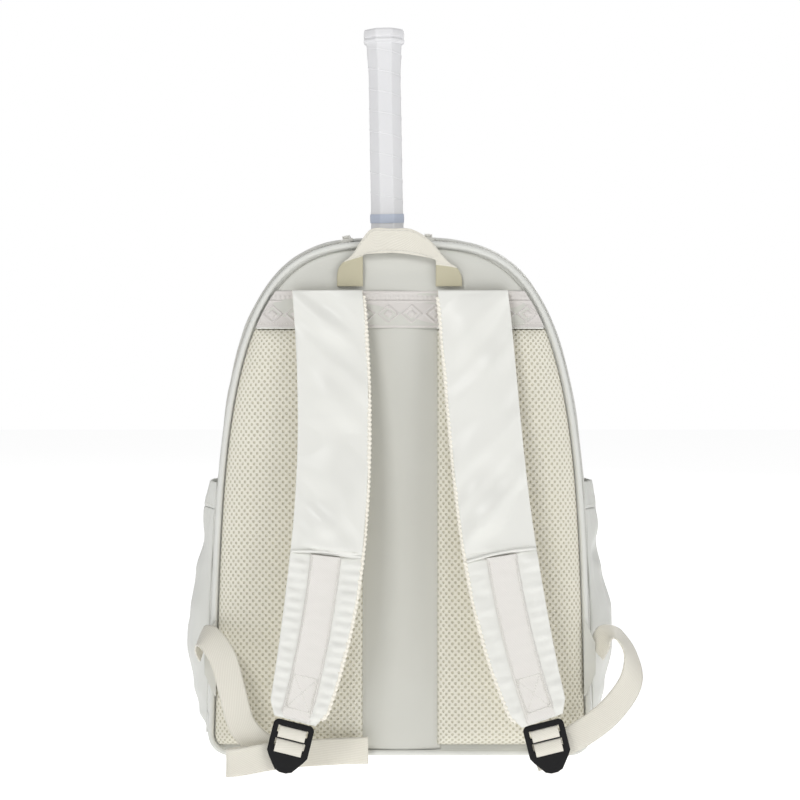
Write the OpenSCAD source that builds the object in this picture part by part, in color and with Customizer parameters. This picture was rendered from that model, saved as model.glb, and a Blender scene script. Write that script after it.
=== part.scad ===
// Racket backpack: a padded bag with a zipped front flap, a racket sleeve behind the back
// panel, side pockets and two shoulder straps on webbing and ladder-lock buckles.
// The harness faces -Y, the front pocket faces +Y and +Z is up.
// The origin is the centre of the base, on the floor.

/* [Bag body] */
// Height of the arched top above the floor
bag_h = 498; // [440:1:560]
// Width of the body at the floor
bag_w = 376; // [340:1:430]
// Depth between the outer faces of the back panel and the front panel
bag_d = 152; // [140:1:190]
// Height at which the sides begin to curve into the arch
arch_start = 100; // [80:1:150]
// Squareness of the arch's shoulders
arch_power = 3.5; // [2.8:0.1:4.5]
// Inward lean of each side for each unit of height
side_lean = 0.03; // [0.01:0.001:0.05]
// Radius of the two bottom corners
corner_r = 26; // [20:1:36]
// Thickness of a padded wall
wall_t = 4; // [3:0.5:5]
// How far the back edge of the body steps in from the widest outline
back_step = 4; // [2:0.5:6]
// Height of the base section of the gusset
base_h = 40; // [38:1:60]
// Thickness of the stiffener board in the base
board_t = 3; // [2:0.5:4]

/* [Panels] */
// Thickness of the back panel
back_t = 8; // [5:0.5:10]
// Width of the racket sleeve from the back panel to the divider
sleeve_gap = 34; // [32:1:40]
// Thickness of the padded divider
divider_t = 6; // [4:0.5:8]
// Thickness of the front panel
front_t = 4; // [3:0.5:5]
// Height of the fold line of the front flap
flap_z = 240; // [235:1:280]
// Width of the piping bead
piping_w = 6; // [4:0.5:7]
// Height of the piping bead over its panel
piping_t = 5; // [3:0.5:6]

/* [Back padding] */
// Thickness of the mesh pads
pad_t = 8; // [6:0.5:12]
// Distance of the top edge of the mesh pads below the top of the bag
pad_drop = 88; // [80:1:104]
// Width of the smooth column between the pads
column_w = 70; // [60:1:90]
// Thickness of the smooth column and of the yoke
yoke_t = 4; // [3:0.5:5]
// Width of the patterned tape across the yoke
tape_w = 26; // [20:1:28]
// Width of the ribbed trim tape
trim_w = 8; // [6:0.5:8]

/* [Zips] */
// Width of a zip's tape
zip_w = 18; // [16:0.5:20]
// Width of the coil of a zip
coil_w = 4.4; // [4:0.1:5]
// Height of the coil over its tape
coil_h = 1.2; // [1:0.1:1.4]
// Height at which the racket zip ends on each side
racket_zip_z = 120; // [100:1:150]
// Distance of the main zip's centre behind the front panel
main_zip_in = 30; // [28:1:36]
// Length of a zip slider
slider_l = 12; // [10:0.5:14]
// Length of a zip puller
puller_l = 30; // [20:1:36]

/* [Pockets] */
// Depth of the front pocket
front_pocket_d = 26; // [20:1:36]
// Height of the top of the front pocket
front_pocket_top = 224; // [200:1:226]
// Length of the front pocket's zip
pocket_zip_l = 244; // [200:1:256]
// Height of the top of a side pocket
side_pocket_top = 262; // [220:1:270]
// Width of a side pocket along the gusset
side_pocket_w = 70; // [60:1:74]
// How far a side pocket bulges
side_pocket_bulge = 25; // [18:1:28]
// Height of a side pocket's elastic hem
hem_h = 27; // [20:1:32]
// Thickness of a side pocket's fabric
pocket_t = 2.5; // [2:0.1:3]
// Height of the top of the laptop sleeve
laptop_top = 300; // [260:1:330]
// Inside depth of the laptop sleeve
laptop_gap = 28; // [20:1:34]

/* [Shoulder straps] */
// Width of a shoulder strap
strap_w = 66; // [56:1:68]
// Width of a strap where it ends above its buckle
strap_end_w = 50; // [44:1:56]
// Thickness of the foam in a strap
foam_t = 7; // [5:0.5:7]
// Thickness of the fabric and mesh on the foam
skin_t = 2; // [1.5:0.1:2]
// Distance of the straps' top seam below the top of the bag
strap_drop = 52; // [48:0.5:52]
// Width of the webbing sewn down the lower part of a strap
strap_web_w = 28; // [24:1:30]
// Width of the adjuster webbing
web_w = 25; // [20:1:25]
// Thickness of webbing
web_t = 1.6; // [1.2:0.1:2]

/* [Buckles and grab handle] */
// Width of a ladder-lock buckle
lock_w = 38; // [36:1:42]
// Height of a ladder-lock buckle
lock_h = 47; // [45:1:52]
// Thickness of a ladder-lock buckle
lock_t = 4; // [3:0.5:4.5]
// Tilt of the buckles in the strap's direction
lock_tilt = 14; // [10:1:18]
// Height of the grab handle over its seam
handle_h = 55; // [50:1:64]
// Thickness of the grab handle
handle_t = 2.4; // [2:0.1:3]

/* [Racket] */
// Length of the racket
racket_l = 686; // [660:1:700]
// Width of the racket's head
head_w = 256; // [240:1:264]
// Length of the racket's head
head_l = 340; // [320:1:350]
// Depth of the racket's beam
beam = 22; // [20:1:24]
// Width of the racket's frame tube
tube_w = 12; // [10:0.5:14]
// Width of the grip
grip_w = 31; // [29:0.5:32]
// Length of the grip
grip_l = 196; // [180:1:200]
// Sideways place of the handle where it leaves the bag
handle_x = -12; // [-20:1:20]
// Lean of the racket
racket_lean = 1; // [0:0.5:1.5]

/* [Hidden] */

gap = 0.3;          // clearance between neighbouring solids
reach = 900;        // longer than anything in the model
arch_steps = 22;
sweep_steps = 22;

// Seams of the yoke, hung from the top of the arch
pad_low = 15;
pad_top = bag_h - pad_drop;
strap_top = bag_h - strap_drop;

// Planes from the back to the front
y_back = -bag_d / 2;
y_front = bag_d / 2;
back_in = y_back + back_t;
racket_y = back_in + sleeve_gap / 2;
divider_y = back_in + sleeve_gap;
main_y = divider_y + divider_t;
zip_y = y_front - main_zip_in;
pad_y = y_back - pad_t;
yoke_y = y_back - yoke_t;
base_floor = wall_t + board_t + 2 * gap;

// Outlines, as insets from the widest one
step_in = back_step + wall_t;
piping_in = back_step + 1;
panel_in = piping_in + piping_w + gap;
front_piping_in = 1;

// Racket sleeve mouth, where the handle comes out of the arch
mouth_w = 60;
mouth_low = bag_h - 60;
head_low = base_floor + 4;

// ---------------------------------------------------------------- outline of the body

function lean_w(z, d) = bag_w / 2 - d - side_lean * z;
function arch_h(d) = bag_h - d - arch_start;
function half_w(z, d) = z <= arch_start ? lean_w(z, d)
    : lean_w(z, d) * pow(max(0, 1 - pow((z - arch_start) / arch_h(d), arch_power)), 1 / arch_power);

function right_side(d) = let (r = max(corner_r - d, 4), cx = lean_w(d + r, d) - r) concat(
    [for (a = [-90:15:0]) [cx + r * cos(a), d + r + r * sin(a)]],
    [for (i = [0:arch_steps]) let (
        a = 90 * i / arch_steps,
        z = arch_start + arch_h(d) * pow(sin(a), 2 / arch_power)
    ) [lean_w(z, d) * pow(cos(a), 2 / arch_power), z]]
);
function outline(d) = let (side = right_side(d), n = len(side)) concat(
    side, [for (i = [n - 2:-1:0]) [-side[i][0], side[i][1]]]
);

// A plate of the body's outline, from one Y plane to another
module slab(d, y0, y1) {
    rotate([90, 0, 0]) translate([0, 0, -y1]) linear_extrude(y1 - y0) polygon(outline(d));
}
module ring(d0, d1, y0, y1) {
    difference() {
        slab(d0, y0, y1);
        slab(d1, y0 - 1, y1 + 1);
    }
}
module between_z(z0, z1) {
    intersection() {
        children();
        translate([-reach, -reach, z0]) cube([2 * reach, 2 * reach, z1 - z0]);
    }
}
module between_x(x0, x1) {
    intersection() {
        children();
        translate([x0, -reach, -reach]) cube([x1 - x0, 2 * reach, 2 * reach]);
    }
}
module mouth_cut() {
    difference() {
        children();
        translate([handle_x - mouth_w / 2, back_in, mouth_low])
            cube([mouth_w, sleeve_gap, reach]);
    }
}
module left_copy() { mirror([1, 0, 0]) children(); }

// -------------------------------------------------------------------- back of the bag

module back_panel() { color("whitesmoke") slab(step_in + gap, y_back, back_in); }

module back_pad() {
    color("blanchedalmond") between_z(pad_low, pad_top)
        between_x(column_w / 2 + gap, reach) slab(panel_in, pad_y, y_back);
}
module back_pad_right() { back_pad(); }
module back_pad_left() { left_copy() back_pad(); }

module centre_column() {
    color("whitesmoke") between_z(pad_low, pad_top)
        between_x(-column_w / 2, column_w / 2) slab(panel_in, yoke_y, y_back);
}
module yoke() { color("whitesmoke") between_z(pad_top + gap, reach) slab(panel_in, yoke_y, y_back); }

module yoke_tape() {
    color("gainsboro") between_z(pad_top + 1, pad_top + 1 + tape_w)
        slab(panel_in + 1, yoke_y - 1.2, yoke_y);
}
module yoke_trim() {
    color("lightgray") between_z(pad_top + tape_w + 1 + gap, pad_top + tape_w + 1 + trim_w)
        slab(panel_in + 1, yoke_y - 1.5, yoke_y);
}
module back_piping() {
    color("white") ring(piping_in, piping_in + piping_w, y_back - piping_t, y_back);
}

// -------------------------------------------------------------- racket sleeve and gussets

module racket_gusset() {
    color("whitesmoke") mouth_cut() between_z(base_h, reach) union() {
        ring(back_step, step_in, y_back, racket_y - zip_w / 2);
        between_z(base_h, racket_zip_z)
            ring(back_step, step_in, racket_y - zip_w / 2 - 1, racket_y + zip_w / 2);
    }
}
module racket_zip() {
    color("gainsboro") mouth_cut() between_z(racket_zip_z + gap, reach) union() {
        ring(back_step, back_step + 2, racket_y - zip_w / 2 + gap, racket_y + zip_w / 2 - gap);
        ring(back_step - coil_h, back_step + 1, racket_y - coil_w / 2, racket_y + coil_w / 2);
    }
}
module divider() { color("lightgray") slab(step_in + gap, divider_y, main_y); }

module main_gusset() {
    color("whitesmoke") mouth_cut() between_z(base_h, reach) union() {
        ring(0, wall_t, racket_y + zip_w / 2 + gap, zip_y - zip_w / 2);
        ring(0, step_in, racket_y + zip_w / 2 + gap, divider_y - gap);
        between_z(base_h, flap_z) ring(0, wall_t, zip_y - zip_w / 2 - 1, y_front);
    }
}
module main_zip_rear() {
    color("gainsboro") between_z(flap_z + gap, reach) union() {
        ring(1, 3, zip_y - zip_w / 2 + gap, zip_y - gap / 2);
        ring(1 - coil_h, 2, zip_y - coil_w / 2, zip_y - gap / 2);
    }
}
module base_panel() {
    color("whitesmoke") between_z(0, base_h - gap) union() {
        ring(0, wall_t, racket_y - zip_w / 2, y_front);
        ring(0, step_in, racket_y - zip_w / 2, racket_y);
        ring(back_step, step_in, y_back, racket_y);
        between_z(0, wall_t) between_x(corner_r - bag_w / 2, bag_w / 2 - corner_r)
            slab(0, y_back, racket_y);
    }
}
module base_board() {
    color("dimgray") translate([corner_r - bag_w / 2, divider_y + divider_t + gap, wall_t + gap])
        cube([bag_w - 2 * corner_r, y_front - front_t - main_y - 2 * gap, board_t]);
}

// -------------------------------------------------------------------- front of the bag

module front_panel() {
    color("whitesmoke") between_z(0, flap_z) slab(wall_t + gap, y_front - front_t, y_front);
}
module front_bead() {
    ring(front_piping_in, front_piping_in + piping_w, y_front, y_front + piping_t);
}
module front_piping() { color("white") between_z(0, flap_z) front_bead(); }

front_pocket_in = front_piping_in + piping_w + gap;
pocket_y = y_front + front_pocket_d;
pocket_wall = 3;
pocket_zip_z = front_pocket_top - 24;

module front_pocket() {
    color("whitesmoke") difference() {
        between_z(0, front_pocket_top) slab(front_pocket_in, y_front + gap, pocket_y);
        between_z(0, front_pocket_top - pocket_wall)
            slab(front_pocket_in + pocket_wall, y_front, pocket_y - pocket_wall);
        translate([-pocket_zip_l / 2, pocket_y - pocket_wall - 1, pocket_zip_z - zip_w / 2])
            cube([pocket_zip_l, pocket_wall + 2, zip_w]);
    }
}
module pocket_zip() {
    color("gainsboro") union() {
        translate([gap - pocket_zip_l / 2, pocket_y - 2.5, pocket_zip_z - zip_w / 2 + gap])
            cube([pocket_zip_l - 2 * gap, 2, zip_w - 2 * gap]);
        translate([gap - pocket_zip_l / 2, pocket_y - 1, pocket_zip_z - coil_w / 2])
            cube([pocket_zip_l - 2 * gap, 1.7, coil_w]);
    }
}

laptop_w = 2 * half_w(laptop_top, wall_t) - 60;
laptop_y = main_y + laptop_gap;
laptop_low = base_floor + 8;

module laptop_sleeve() {
    color("darkgray") difference() {
        translate([-laptop_w / 2, main_y + gap, laptop_low])
            cube([laptop_w, laptop_gap + wall_t, laptop_top - laptop_low]);
        translate([-laptop_w / 2 + wall_t, main_y - 1, laptop_low + wall_t])
            cube([laptop_w - 2 * wall_t, laptop_gap + 1, reach]);
    }
}
module sleeve_binding() {
    color("gray") translate([-laptop_w / 2, laptop_y, laptop_top + gap])
        cube([laptop_w, wall_t, 12]);
}

// ------------------------------------------------------------------------ front flap

module flap_panel() {
    color("whitesmoke") between_z(flap_z + gap, reach)
        slab(wall_t + gap, y_front - front_t, y_front);
}
module flap_gusset() {
    color("whitesmoke") between_z(flap_z + gap, reach)
        ring(0, wall_t, zip_y + zip_w / 2, y_front);
}
module flap_piping() { color("white") between_z(flap_z + gap, reach) front_bead(); }
module main_zip_front() {
    color("gainsboro") between_z(flap_z + gap, reach) union() {
        ring(1, 3, zip_y + gap / 2, zip_y + zip_w / 2 - gap);
        ring(1 - coil_h, 2, zip_y + gap / 2, zip_y + coil_w / 2);
    }
}

// ----------------------------------------------------------------------- side pockets

side_pocket_y0 = racket_y + zip_w / 2 + 4;
side_pocket_low = 18;
pocket_steps = 10;

// Height of the bulge over the body's side, from the pocket's foot (0) to its top (1)
function bulge(u, b) = u < 0.42 ? 6 + (b - 6) * sin(90 * u / 0.42)
    : b - 0.42 * b * (1 - cos(90 * (u - 0.42) / 0.58)) ;
function bulge_line(t) = [for (i = [0:pocket_steps]) let (
    u = i / pocket_steps, z = side_pocket_low + u * (side_pocket_top - side_pocket_low)
) [half_w(z, 0) + gap + bulge(u, side_pocket_bulge) - t, z]];
function body_line() = [for (i = [pocket_steps:-1:0]) let (
    z = side_pocket_low + i / pocket_steps * (side_pocket_top - side_pocket_low)
) [half_w(z, 0) + gap, z]];

// The pocket as a solid: its bulging outline, rounded off towards both seams
module pocket_block(t) {
    far = bag_w / 2 + side_pocket_bulge + 2 - t;
    near = bag_w / 2 - side_lean * side_pocket_top - 12;
    mid = side_pocket_y0 + side_pocket_w / 2;
    w = side_pocket_w / 2 - t;
    intersection() {
        rotate([90, 0, 0]) translate([0, 0, -side_pocket_y0 - side_pocket_w])
            linear_extrude(side_pocket_w) polygon(concat(bulge_line(t), body_line()));
        linear_extrude(reach) polygon(concat(
            [[near, mid - w]],
            [for (a = [-90:15:90]) [
                near + (far - near) * pow(max(0, cos(a)), 0.3), mid + w * sin(a)]],
            [[near, mid + w]]
        ));
    }
}
module side_pocket() {
    color("white") difference() {
        between_z(0, side_pocket_top - hem_h) pocket_block(0);
        between_z(side_pocket_low + pocket_t, reach) pocket_block(pocket_t);
    }
}
module pocket_hem() {
    color("white") difference() {
        between_z(side_pocket_top - hem_h + gap, side_pocket_top - 1) pocket_block(0);
        pocket_block(pocket_t);
    }
}
module side_pocket_right() { side_pocket(); }
module side_pocket_left() { left_copy() side_pocket(); }
module pocket_hem_right() { pocket_hem(); }
module pocket_hem_left() { left_copy() pocket_hem(); }

// -------------------------------------------------------------------- swept soft pieces

function unit(v) = v / norm(v);
function bez(p, t) = pow(1 - t, 3) * p[0] + 3 * t * pow(1 - t, 2) * p[1]
    + 3 * t * t * (1 - t) * p[2] + pow(t, 3) * p[3];
function bez_dir(p, t) = 3 * pow(1 - t, 2) * (p[1] - p[0])
    + 6 * t * (1 - t) * (p[2] - p[1]) + 3 * t * t * (p[3] - p[2]);

// A closed solid through rings that all have n points
module loft(rings) {
    m = len(rings);
    n = len(rings[0]);
    sides = [for (i = [0:m - 2], j = [0:n - 1]) let (
        a = i * n + j, b = i * n + (j + 1) % n, c = a + n, d = b + n
    ) each [[a, c, d], [a, d, b]]];
    caps = [for (j = [1:n - 2]) each [[0, j, j + 1], [m * n - n, m * n - n + j + 1, m * n - n + j]]];
    polyhedron([for (r = rings) each r], concat(sides, caps));
}

// Shoulder straps: each follows a curve from the yoke to its buckle
strap_t = foam_t + 2 * skin_t;
strap_y = yoke_y - 1.5 - gap - strap_t / 2;
strap_low = 52;
strap_out = bag_d / 2 + 63;
strap_fall = strap_top - strap_low;
strap_path_left = [
    [-68.5, strap_y, strap_top], [-56, strap_y - 22, strap_top - 0.3325 * strap_fall],
    [-60, -strap_out + 11, strap_top - 0.6675 * strap_fall], [-96, -strap_out, strap_low]
];
strap_path_right = [
    [68.5, strap_y, strap_top], [82, strap_y - 22, strap_top - 0.3325 * strap_fall],
    [83, -strap_out + 11, strap_top - 0.6675 * strap_fall], [130, -strap_out, strap_low]
];
strap_seam = 0.62;      // where the upper cover meets the lower section
ply = 0.05;             // between the layers of a strap

function strap_half(t) = strap_w / 2
    - (strap_w - strap_end_w) / 2 * pow(max(0, (t - strap_seam) / (1 - strap_seam)), 2)
    - (t > 0.97 ? (t - 0.97) * 180 : 0);

// One layer of a strap: t0 to t1 along the path, v0 to v1 outwards from its middle
function strap_ring(p, t, half, v0, v1) = let (
    turn = min(1, t / 0.12),
    c = bez(p, t), dir = unit(turn * unit(bez_dir(p, t)) - [0, 0, 1 - turn]),
    w = unit([-dir[2], 0, dir[0]]), n = cross(dir, w)
) [c - w * half + n * v0, c + w * half + n * v0, c + w * half + n * v1, c - w * half + n * v1];
// All layers share their stations, so that they lie flat on each other
function strap_stations(t0, t1) = concat(
    [t0], [for (i = [1:sweep_steps - 1]) let (t = i / sweep_steps) if (t > t0 && t < t1) t], [t1]
);
module strap_layer(p, t0, t1, v0, v1, trim = 0) {
    loft([for (t = strap_stations(t0, t1)) strap_ring(p, t, strap_half(t) - trim, v0, v1)]);
}
module strap_cover(p) {
    color("white") strap_layer(p, 0, strap_seam - 0.001, foam_t / 2 + ply, foam_t / 2 + skin_t);
}
module strap_lower(p) {
    color("white") strap_layer(p, strap_seam + 0.001, 1, foam_t / 2 + ply, foam_t / 2 + skin_t);
}
module strap_foam(p) { color("beige") strap_layer(p, 0, 0.99, -foam_t / 2, foam_t / 2, 1.5); }
module strap_mesh(p) {
    color("blanchedalmond") strap_layer(p, 0, 1, -foam_t / 2 - skin_t, -foam_t / 2 - ply);
}

// Webbing down the lower section, ending just over the buckle's top bar
module strap_webbing(p) {
    v0 = foam_t / 2 + skin_t + ply;
    color("lightgray") loft([for (i = [0:sweep_steps]) let (
        t = strap_seam + 0.004 + (1 - strap_seam) * i / sweep_steps
    ) strap_ring(p, min(t, 1), strap_web_w / 2, v0, v0 + web_t)]);
}
module strap_cover_left() { strap_cover(strap_path_left); }
module strap_lower_left() { strap_lower(strap_path_left); }
module strap_foam_left() { strap_foam(strap_path_left); }
module strap_mesh_left() { strap_mesh(strap_path_left); }
module strap_webbing_left() { strap_webbing(strap_path_left); }
module strap_cover_right() { strap_cover(strap_path_right); }
module strap_lower_right() { strap_lower(strap_path_right); }
module strap_foam_right() { strap_foam(strap_path_right); }
module strap_mesh_right() { strap_mesh(strap_path_right); }
module strap_webbing_right() { strap_webbing(strap_path_right); }

// Adjuster webbing. A station is its centre and the direction of its width.
web_route_left = [
    [[-186, -83, 104], [0, 0.3, 1]], [[-188, -93, 119], [0.3, 0.5, 0.8]],
    [[-178, -106, 121], [0.7, 0.4, 0.5]], [[-164, -117, 104], [1, 0.1, 0.25]],
    [[-155, -124, 76], [1, 0, 0.2]], [[-146, -127, 46], [0.8, 0, 0.6]],
    [[-130, -127, 28], [0.35, 0, 0.95]], [[-112, -127, 20], [0, 0, 1]]
];
web_tail_left = [
    [[-104, -131, 19], [0, 0, 1]], [[-124, -136, 17], [-0.12, 0, 1]],
    [[-146, -143, 14.5], [-0.1, 0, 1]], [[-158, -142, 13.4], [0, 0, 1]],
    [[-154, -134, 13.2], [0, 0, 1]], [[-134, -122, 13.2], [0, 0, 1]],
    [[-106, -108, 13.2], [0, 0, 1]], [[-70, -97, 13.2], [0, 0, 1]], [[-30, -91, 13.2], [0, 0, 1]]
];
web_route_right = [
    [[186, -83, 104], [0, 0.3, 1]], [[193, -89, 120], [-0.5, 0.8, 0.4]],
    [[205, -93, 122], [0.1, 1, 0.3]], [[216, -98, 104], [0.5, 0.85, 0.1]],
    [[215, -106, 80], [0.9, 0.4, -0.3]], [[196, -116, 56], [0.75, 0.1, -0.65]],
    [[170, -124, 38], [0.5, 0, -0.85]], [[146, -127, 26], [0.2, 0, -1]]
];
web_tail_right = [
    [[140, -129.5, 22], [0, 0, -1]], [[131, -130, 18], [0, 0, -1]], [[123, -131, 15], [0, 0, -1]]
];

// The stations are for sides 188 from the middle and a back 76 behind it. They follow a wider
// or deeper bag: all of them backwards, and outwards the more the nearer they are to its side.
route_side = 188;
route_back = 76;
route_fixed = 110;
function follow(x) = max(0, min(1, (abs(x) - route_fixed) / (route_side - route_fixed)));
function tied(s) = [for (p = s) [[
    p[0][0] + sign(p[0][0]) * (bag_w / 2 - route_side) * follow(p[0][0]),
    p[0][1] - bag_d / 2 + route_back, p[0][2]
], p[1]]];

// Catmull-Rom value between stations i and i + 1
function station(s, i) = s[max(0, min(len(s) - 1, i))];
function between(s, k, i, u) = let (
    a = station(s, i - 1)[k], b = station(s, i)[k], c = station(s, i + 1)[k], d = station(s, i + 2)[k]
) 0.5 * (2 * b + (c - a) * u + (2 * a - 5 * b + 4 * c - d) * u * u
    + (3 * b - a - 3 * c + d) * u * u * u);
module webbing(s) {
    n = len(s) - 1;
    loft([for (k = [0:4 * n]) let (
        i = min(floor(k / 4), n - 1), u = k / 4 - i,
        c = between(s, 0, i, u),
        dir = unit(between(s, 0, i, min(u + 0.05, 1)) - between(s, 0, i, max(min(u + 0.05, 1) - 0.1, 0))),
        w0 = between(s, 1, i, u), w = unit(w0 - dir * (w0 * dir)), v = cross(dir, w) * web_t / 2
    ) [c - w * web_w / 2 - v, c + w * web_w / 2 - v, c + w * web_w / 2 + v, c - w * web_w / 2 + v]]);
}
module adjuster_webbing_left() {
    color("linen") { webbing(tied(web_route_left)); webbing(tied(web_tail_left)); }
}
module adjuster_webbing_right() {
    color("linen") { webbing(tied(web_route_right)); webbing(tied(web_tail_right)); }
}

// Fabric tab sewn in beside the pad and folded out over the piping, where the adjuster
// webbing starts
tab_low = 62;
tab_high = 134;
tab_mid = 98;
tab_out = 11;
tab_t = 2.4;
tab_y = y_back - piping_t - gap;
module webbing_tab() {
    seam = panel_in - gap;
    color("wheat") translate([0, tab_y, 0]) rotate([90, 0, 0]) linear_extrude(tab_t) polygon([
        [half_w(tab_low, seam), tab_low], [half_w(tab_mid, seam) + tab_out, tab_mid - 10],
        [half_w(tab_mid, seam) + tab_out, tab_mid + 8], [half_w(tab_high, seam), tab_high]
    ]);
}
module webbing_tab_right() { webbing_tab(); }
module webbing_tab_left() { left_copy() webbing_tab(); }

// -------------------------------------------------------------- buckles and grab handle

lock_bar = 5;
lock_clear = 2;
slot_h = 7;
slot_w = web_w + 3;

// Ladder lock, hanging from its top bar at the origin, with its face towards -Y
module ladder_lock() {
    r = 5;
    tip = 20;
    color("black") rotate([90, 0, 0]) translate([0, 0, -lock_t / 2]) linear_extrude(lock_t)
        difference() {
            polygon(concat(
                [for (a = [0:15:90]) [lock_w / 2 - r + r * cos(a), lock_bar / 2 - r + r * sin(a)]],
                [for (a = [90:15:180]) [r - lock_w / 2 + r * cos(a), lock_bar / 2 - r + r * sin(a)]],
                [[-lock_w / 2, -lock_h + tip], [-lock_w / 2 + 3, -lock_h + tip - 5],
                 [-8, -lock_h + lock_bar / 2 + 2], [-3, -lock_h + lock_bar / 2],
                 [3, -lock_h + lock_bar / 2], [8, -lock_h + lock_bar / 2 + 2],
                 [lock_w / 2 - 3, -lock_h + tip - 5], [lock_w / 2, -lock_h + tip]]
            ));
            for (i = [0:1]) translate([-slot_w / 2, -lock_bar / 2 - slot_h - i * (slot_h + lock_bar)])
                square([slot_w, slot_h]);
        }
}
lock_z = strap_low - lock_bar / 2 - lock_clear;
lock_y = -strap_out - 1;
module ladder_lock_left() {
    translate([-96.5, lock_y, lock_z]) rotate([0, lock_tilt, 0]) ladder_lock();
}
module ladder_lock_right() {
    translate([130.5, lock_y, lock_z]) rotate([0, -lock_tilt, 0]) ladder_lock();
}

// Webbing loop folded square at its two top corners
handle_l = -61;
handle_r = 56;
handle_low = strap_top + 4;
handle_y = yoke_y - 1.3;
handle_pitch = 6;
module grab_handle() {
    inner = handle_h - web_w;
    lean = 10;
    color("linen") translate([0, handle_y, handle_low]) rotate([90 + handle_pitch, 0, 0])
        linear_extrude(handle_t) polygon([
            [handle_l, 0], [handle_l + web_w, 0], [handle_l + web_w + 2, inner - 4],
            [handle_l + web_w + 6, inner], [handle_r - web_w - 6, inner],
            [handle_r - web_w - 2, inner - 4], [handle_r - web_w, 0], [handle_r, 0],
            [handle_r - lean / 2, inner + 6], [handle_r - lean, handle_h - 4],
            [handle_r - lean - 6, handle_h], [handle_l + lean + 6, handle_h],
            [handle_l + lean, handle_h - 4], [handle_l + lean / 2, inner + 6]
        ]);
}

// ------------------------------------------------------------------- sliders and pullers

// A slider lies on its coil at z = 0, travels along X and carries its puller on a pin
slider_w = 10;
plate_t = 2;
coil_clear = 1;
flank = 0.3;
lug_h = 3.4;
lug_gap = 5;
pin_r = 0.8;
pin_z = coil_clear + plate_t + 1.8;
module slider(turn = 0, one_sided = false) {
    color("silver") union() {
        translate([-slider_l / 2, -slider_w / 2, coil_clear]) cube([slider_l, slider_w, plate_t]);
        translate([-slider_l / 2, -slider_w / 2, -flank]) cube([slider_l, 1.6, coil_clear + 1]);
        if (!one_sided)
            translate([-slider_l / 2, slider_w / 2 - 1.6, -flank]) cube([slider_l, 1.6, coil_clear + 1]);
        rotate([0, 0, turn]) {
            for (s = [-1, 1]) translate([-1.6, s * (lug_gap / 2 + 0.6) - 0.6, coil_clear + 1])
                cube([3.2, 1.2, lug_h + 1]);
            translate([0, lug_gap / 2 + 0.6, pin_z]) rotate([90, 0, 0])
                cylinder(r = pin_r, h = lug_gap + 1.2, $fn = 32);
        }
    }
}
module puller(turn = 0) {
    eye_r = 1.7;
    eye_w = lug_gap - 0.6;
    color("silver") rotate([0, 0, turn]) translate([0, 0, pin_z]) difference() {
        union() {
            translate([0, eye_w / 2, 0]) rotate([90, 0, 0]) cylinder(r = eye_r, h = eye_w, $fn = 32);
            translate([0, -eye_w / 2, -0.7]) cube([6, eye_w, 1.4]);
            translate([5.4, -4, -0.7]) cube([puller_l - 5.4, 8, 1.4]);
        }
        translate([0, eye_w, 0]) rotate([90, 0, 0]) cylinder(r = pin_r + 0.2, h = 2 * eye_w, $fn = 32);
        translate([puller_l - 9, -2, -2]) cube([6, 4, 4]);
    }
}

// Frames for the sliders: local Z is out of the zip and local X is downhill
main_slider_z = flap_z + 20;
main_travel = 40;
main_top_x = half_w(main_slider_z, 1 - coil_h);
main_lean = atan((main_top_x - half_w(main_slider_z + main_travel, 1 - coil_h)) / main_travel);
module on_main_zip() {
    translate([main_top_x, zip_y, main_slider_z]) rotate([0, 90 - main_lean, 0]) children();
}
racket_slider_x = mouth_w / 2 + slider_l / 2 + 3;
racket_travel = 20;
// Height of the arch at x, for an inset d
function arch_top(x, d) = arch_start
    + arch_h(d) * pow(1 - pow(x / lean_w(bag_h - 8, d), arch_power), 1 / arch_power);
module on_racket_zip(side) {
    x = handle_x + side * racket_slider_x;
    z = arch_top(abs(x), back_step - coil_h);
    fall = z - arch_top(abs(x) + racket_travel, back_step - coil_h);
    translate([x, racket_y, z]) mirror([side < 0 ? 1 : 0, 0, 0])
        rotate([0, atan(fall / racket_travel), 0]) children();
}
pocket_slider_x = -pocket_zip_l / 2 + slider_l;
module on_pocket_zip() {
    translate([pocket_slider_x, pocket_y + 0.7, pocket_zip_z]) rotate([-90, 0, 0]) children();
}

module racket_slider_left() { on_racket_zip(-1) slider(90); }
module racket_slider_right() { on_racket_zip(1) slider(90); }
module main_slider_right() { on_main_zip() mirror([0, 1, 0]) rotate([0, 0, 180]) slider(0, true); }
module main_slider_left() { left_copy() main_slider_right(); }
module pocket_slider() { on_pocket_zip() slider(90); }
module racket_puller_left() { on_racket_zip(-1) puller(90); }
module racket_puller_right() { on_racket_zip(1) puller(90); }
module main_puller_right() { on_main_zip() puller(); }
module main_puller_left() { left_copy() main_puller_right(); }
module pocket_puller() { on_pocket_zip() puller(90); }

// ---------------------------------------------------------------------------- racket

// The racket stands head down, in its own frame with its head's tip at z = 0
shaft_top = racket_l - grip_l;
shaft_w = 26;
throat_l = 92;
cap_l = 14;

module in_racket_frame() {
    translate([handle_x, racket_y, mouth_low + 56]) rotate([0, -racket_lean, 0])
        translate([0, 0, head_low - mouth_low - 56]) children();
}
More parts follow.
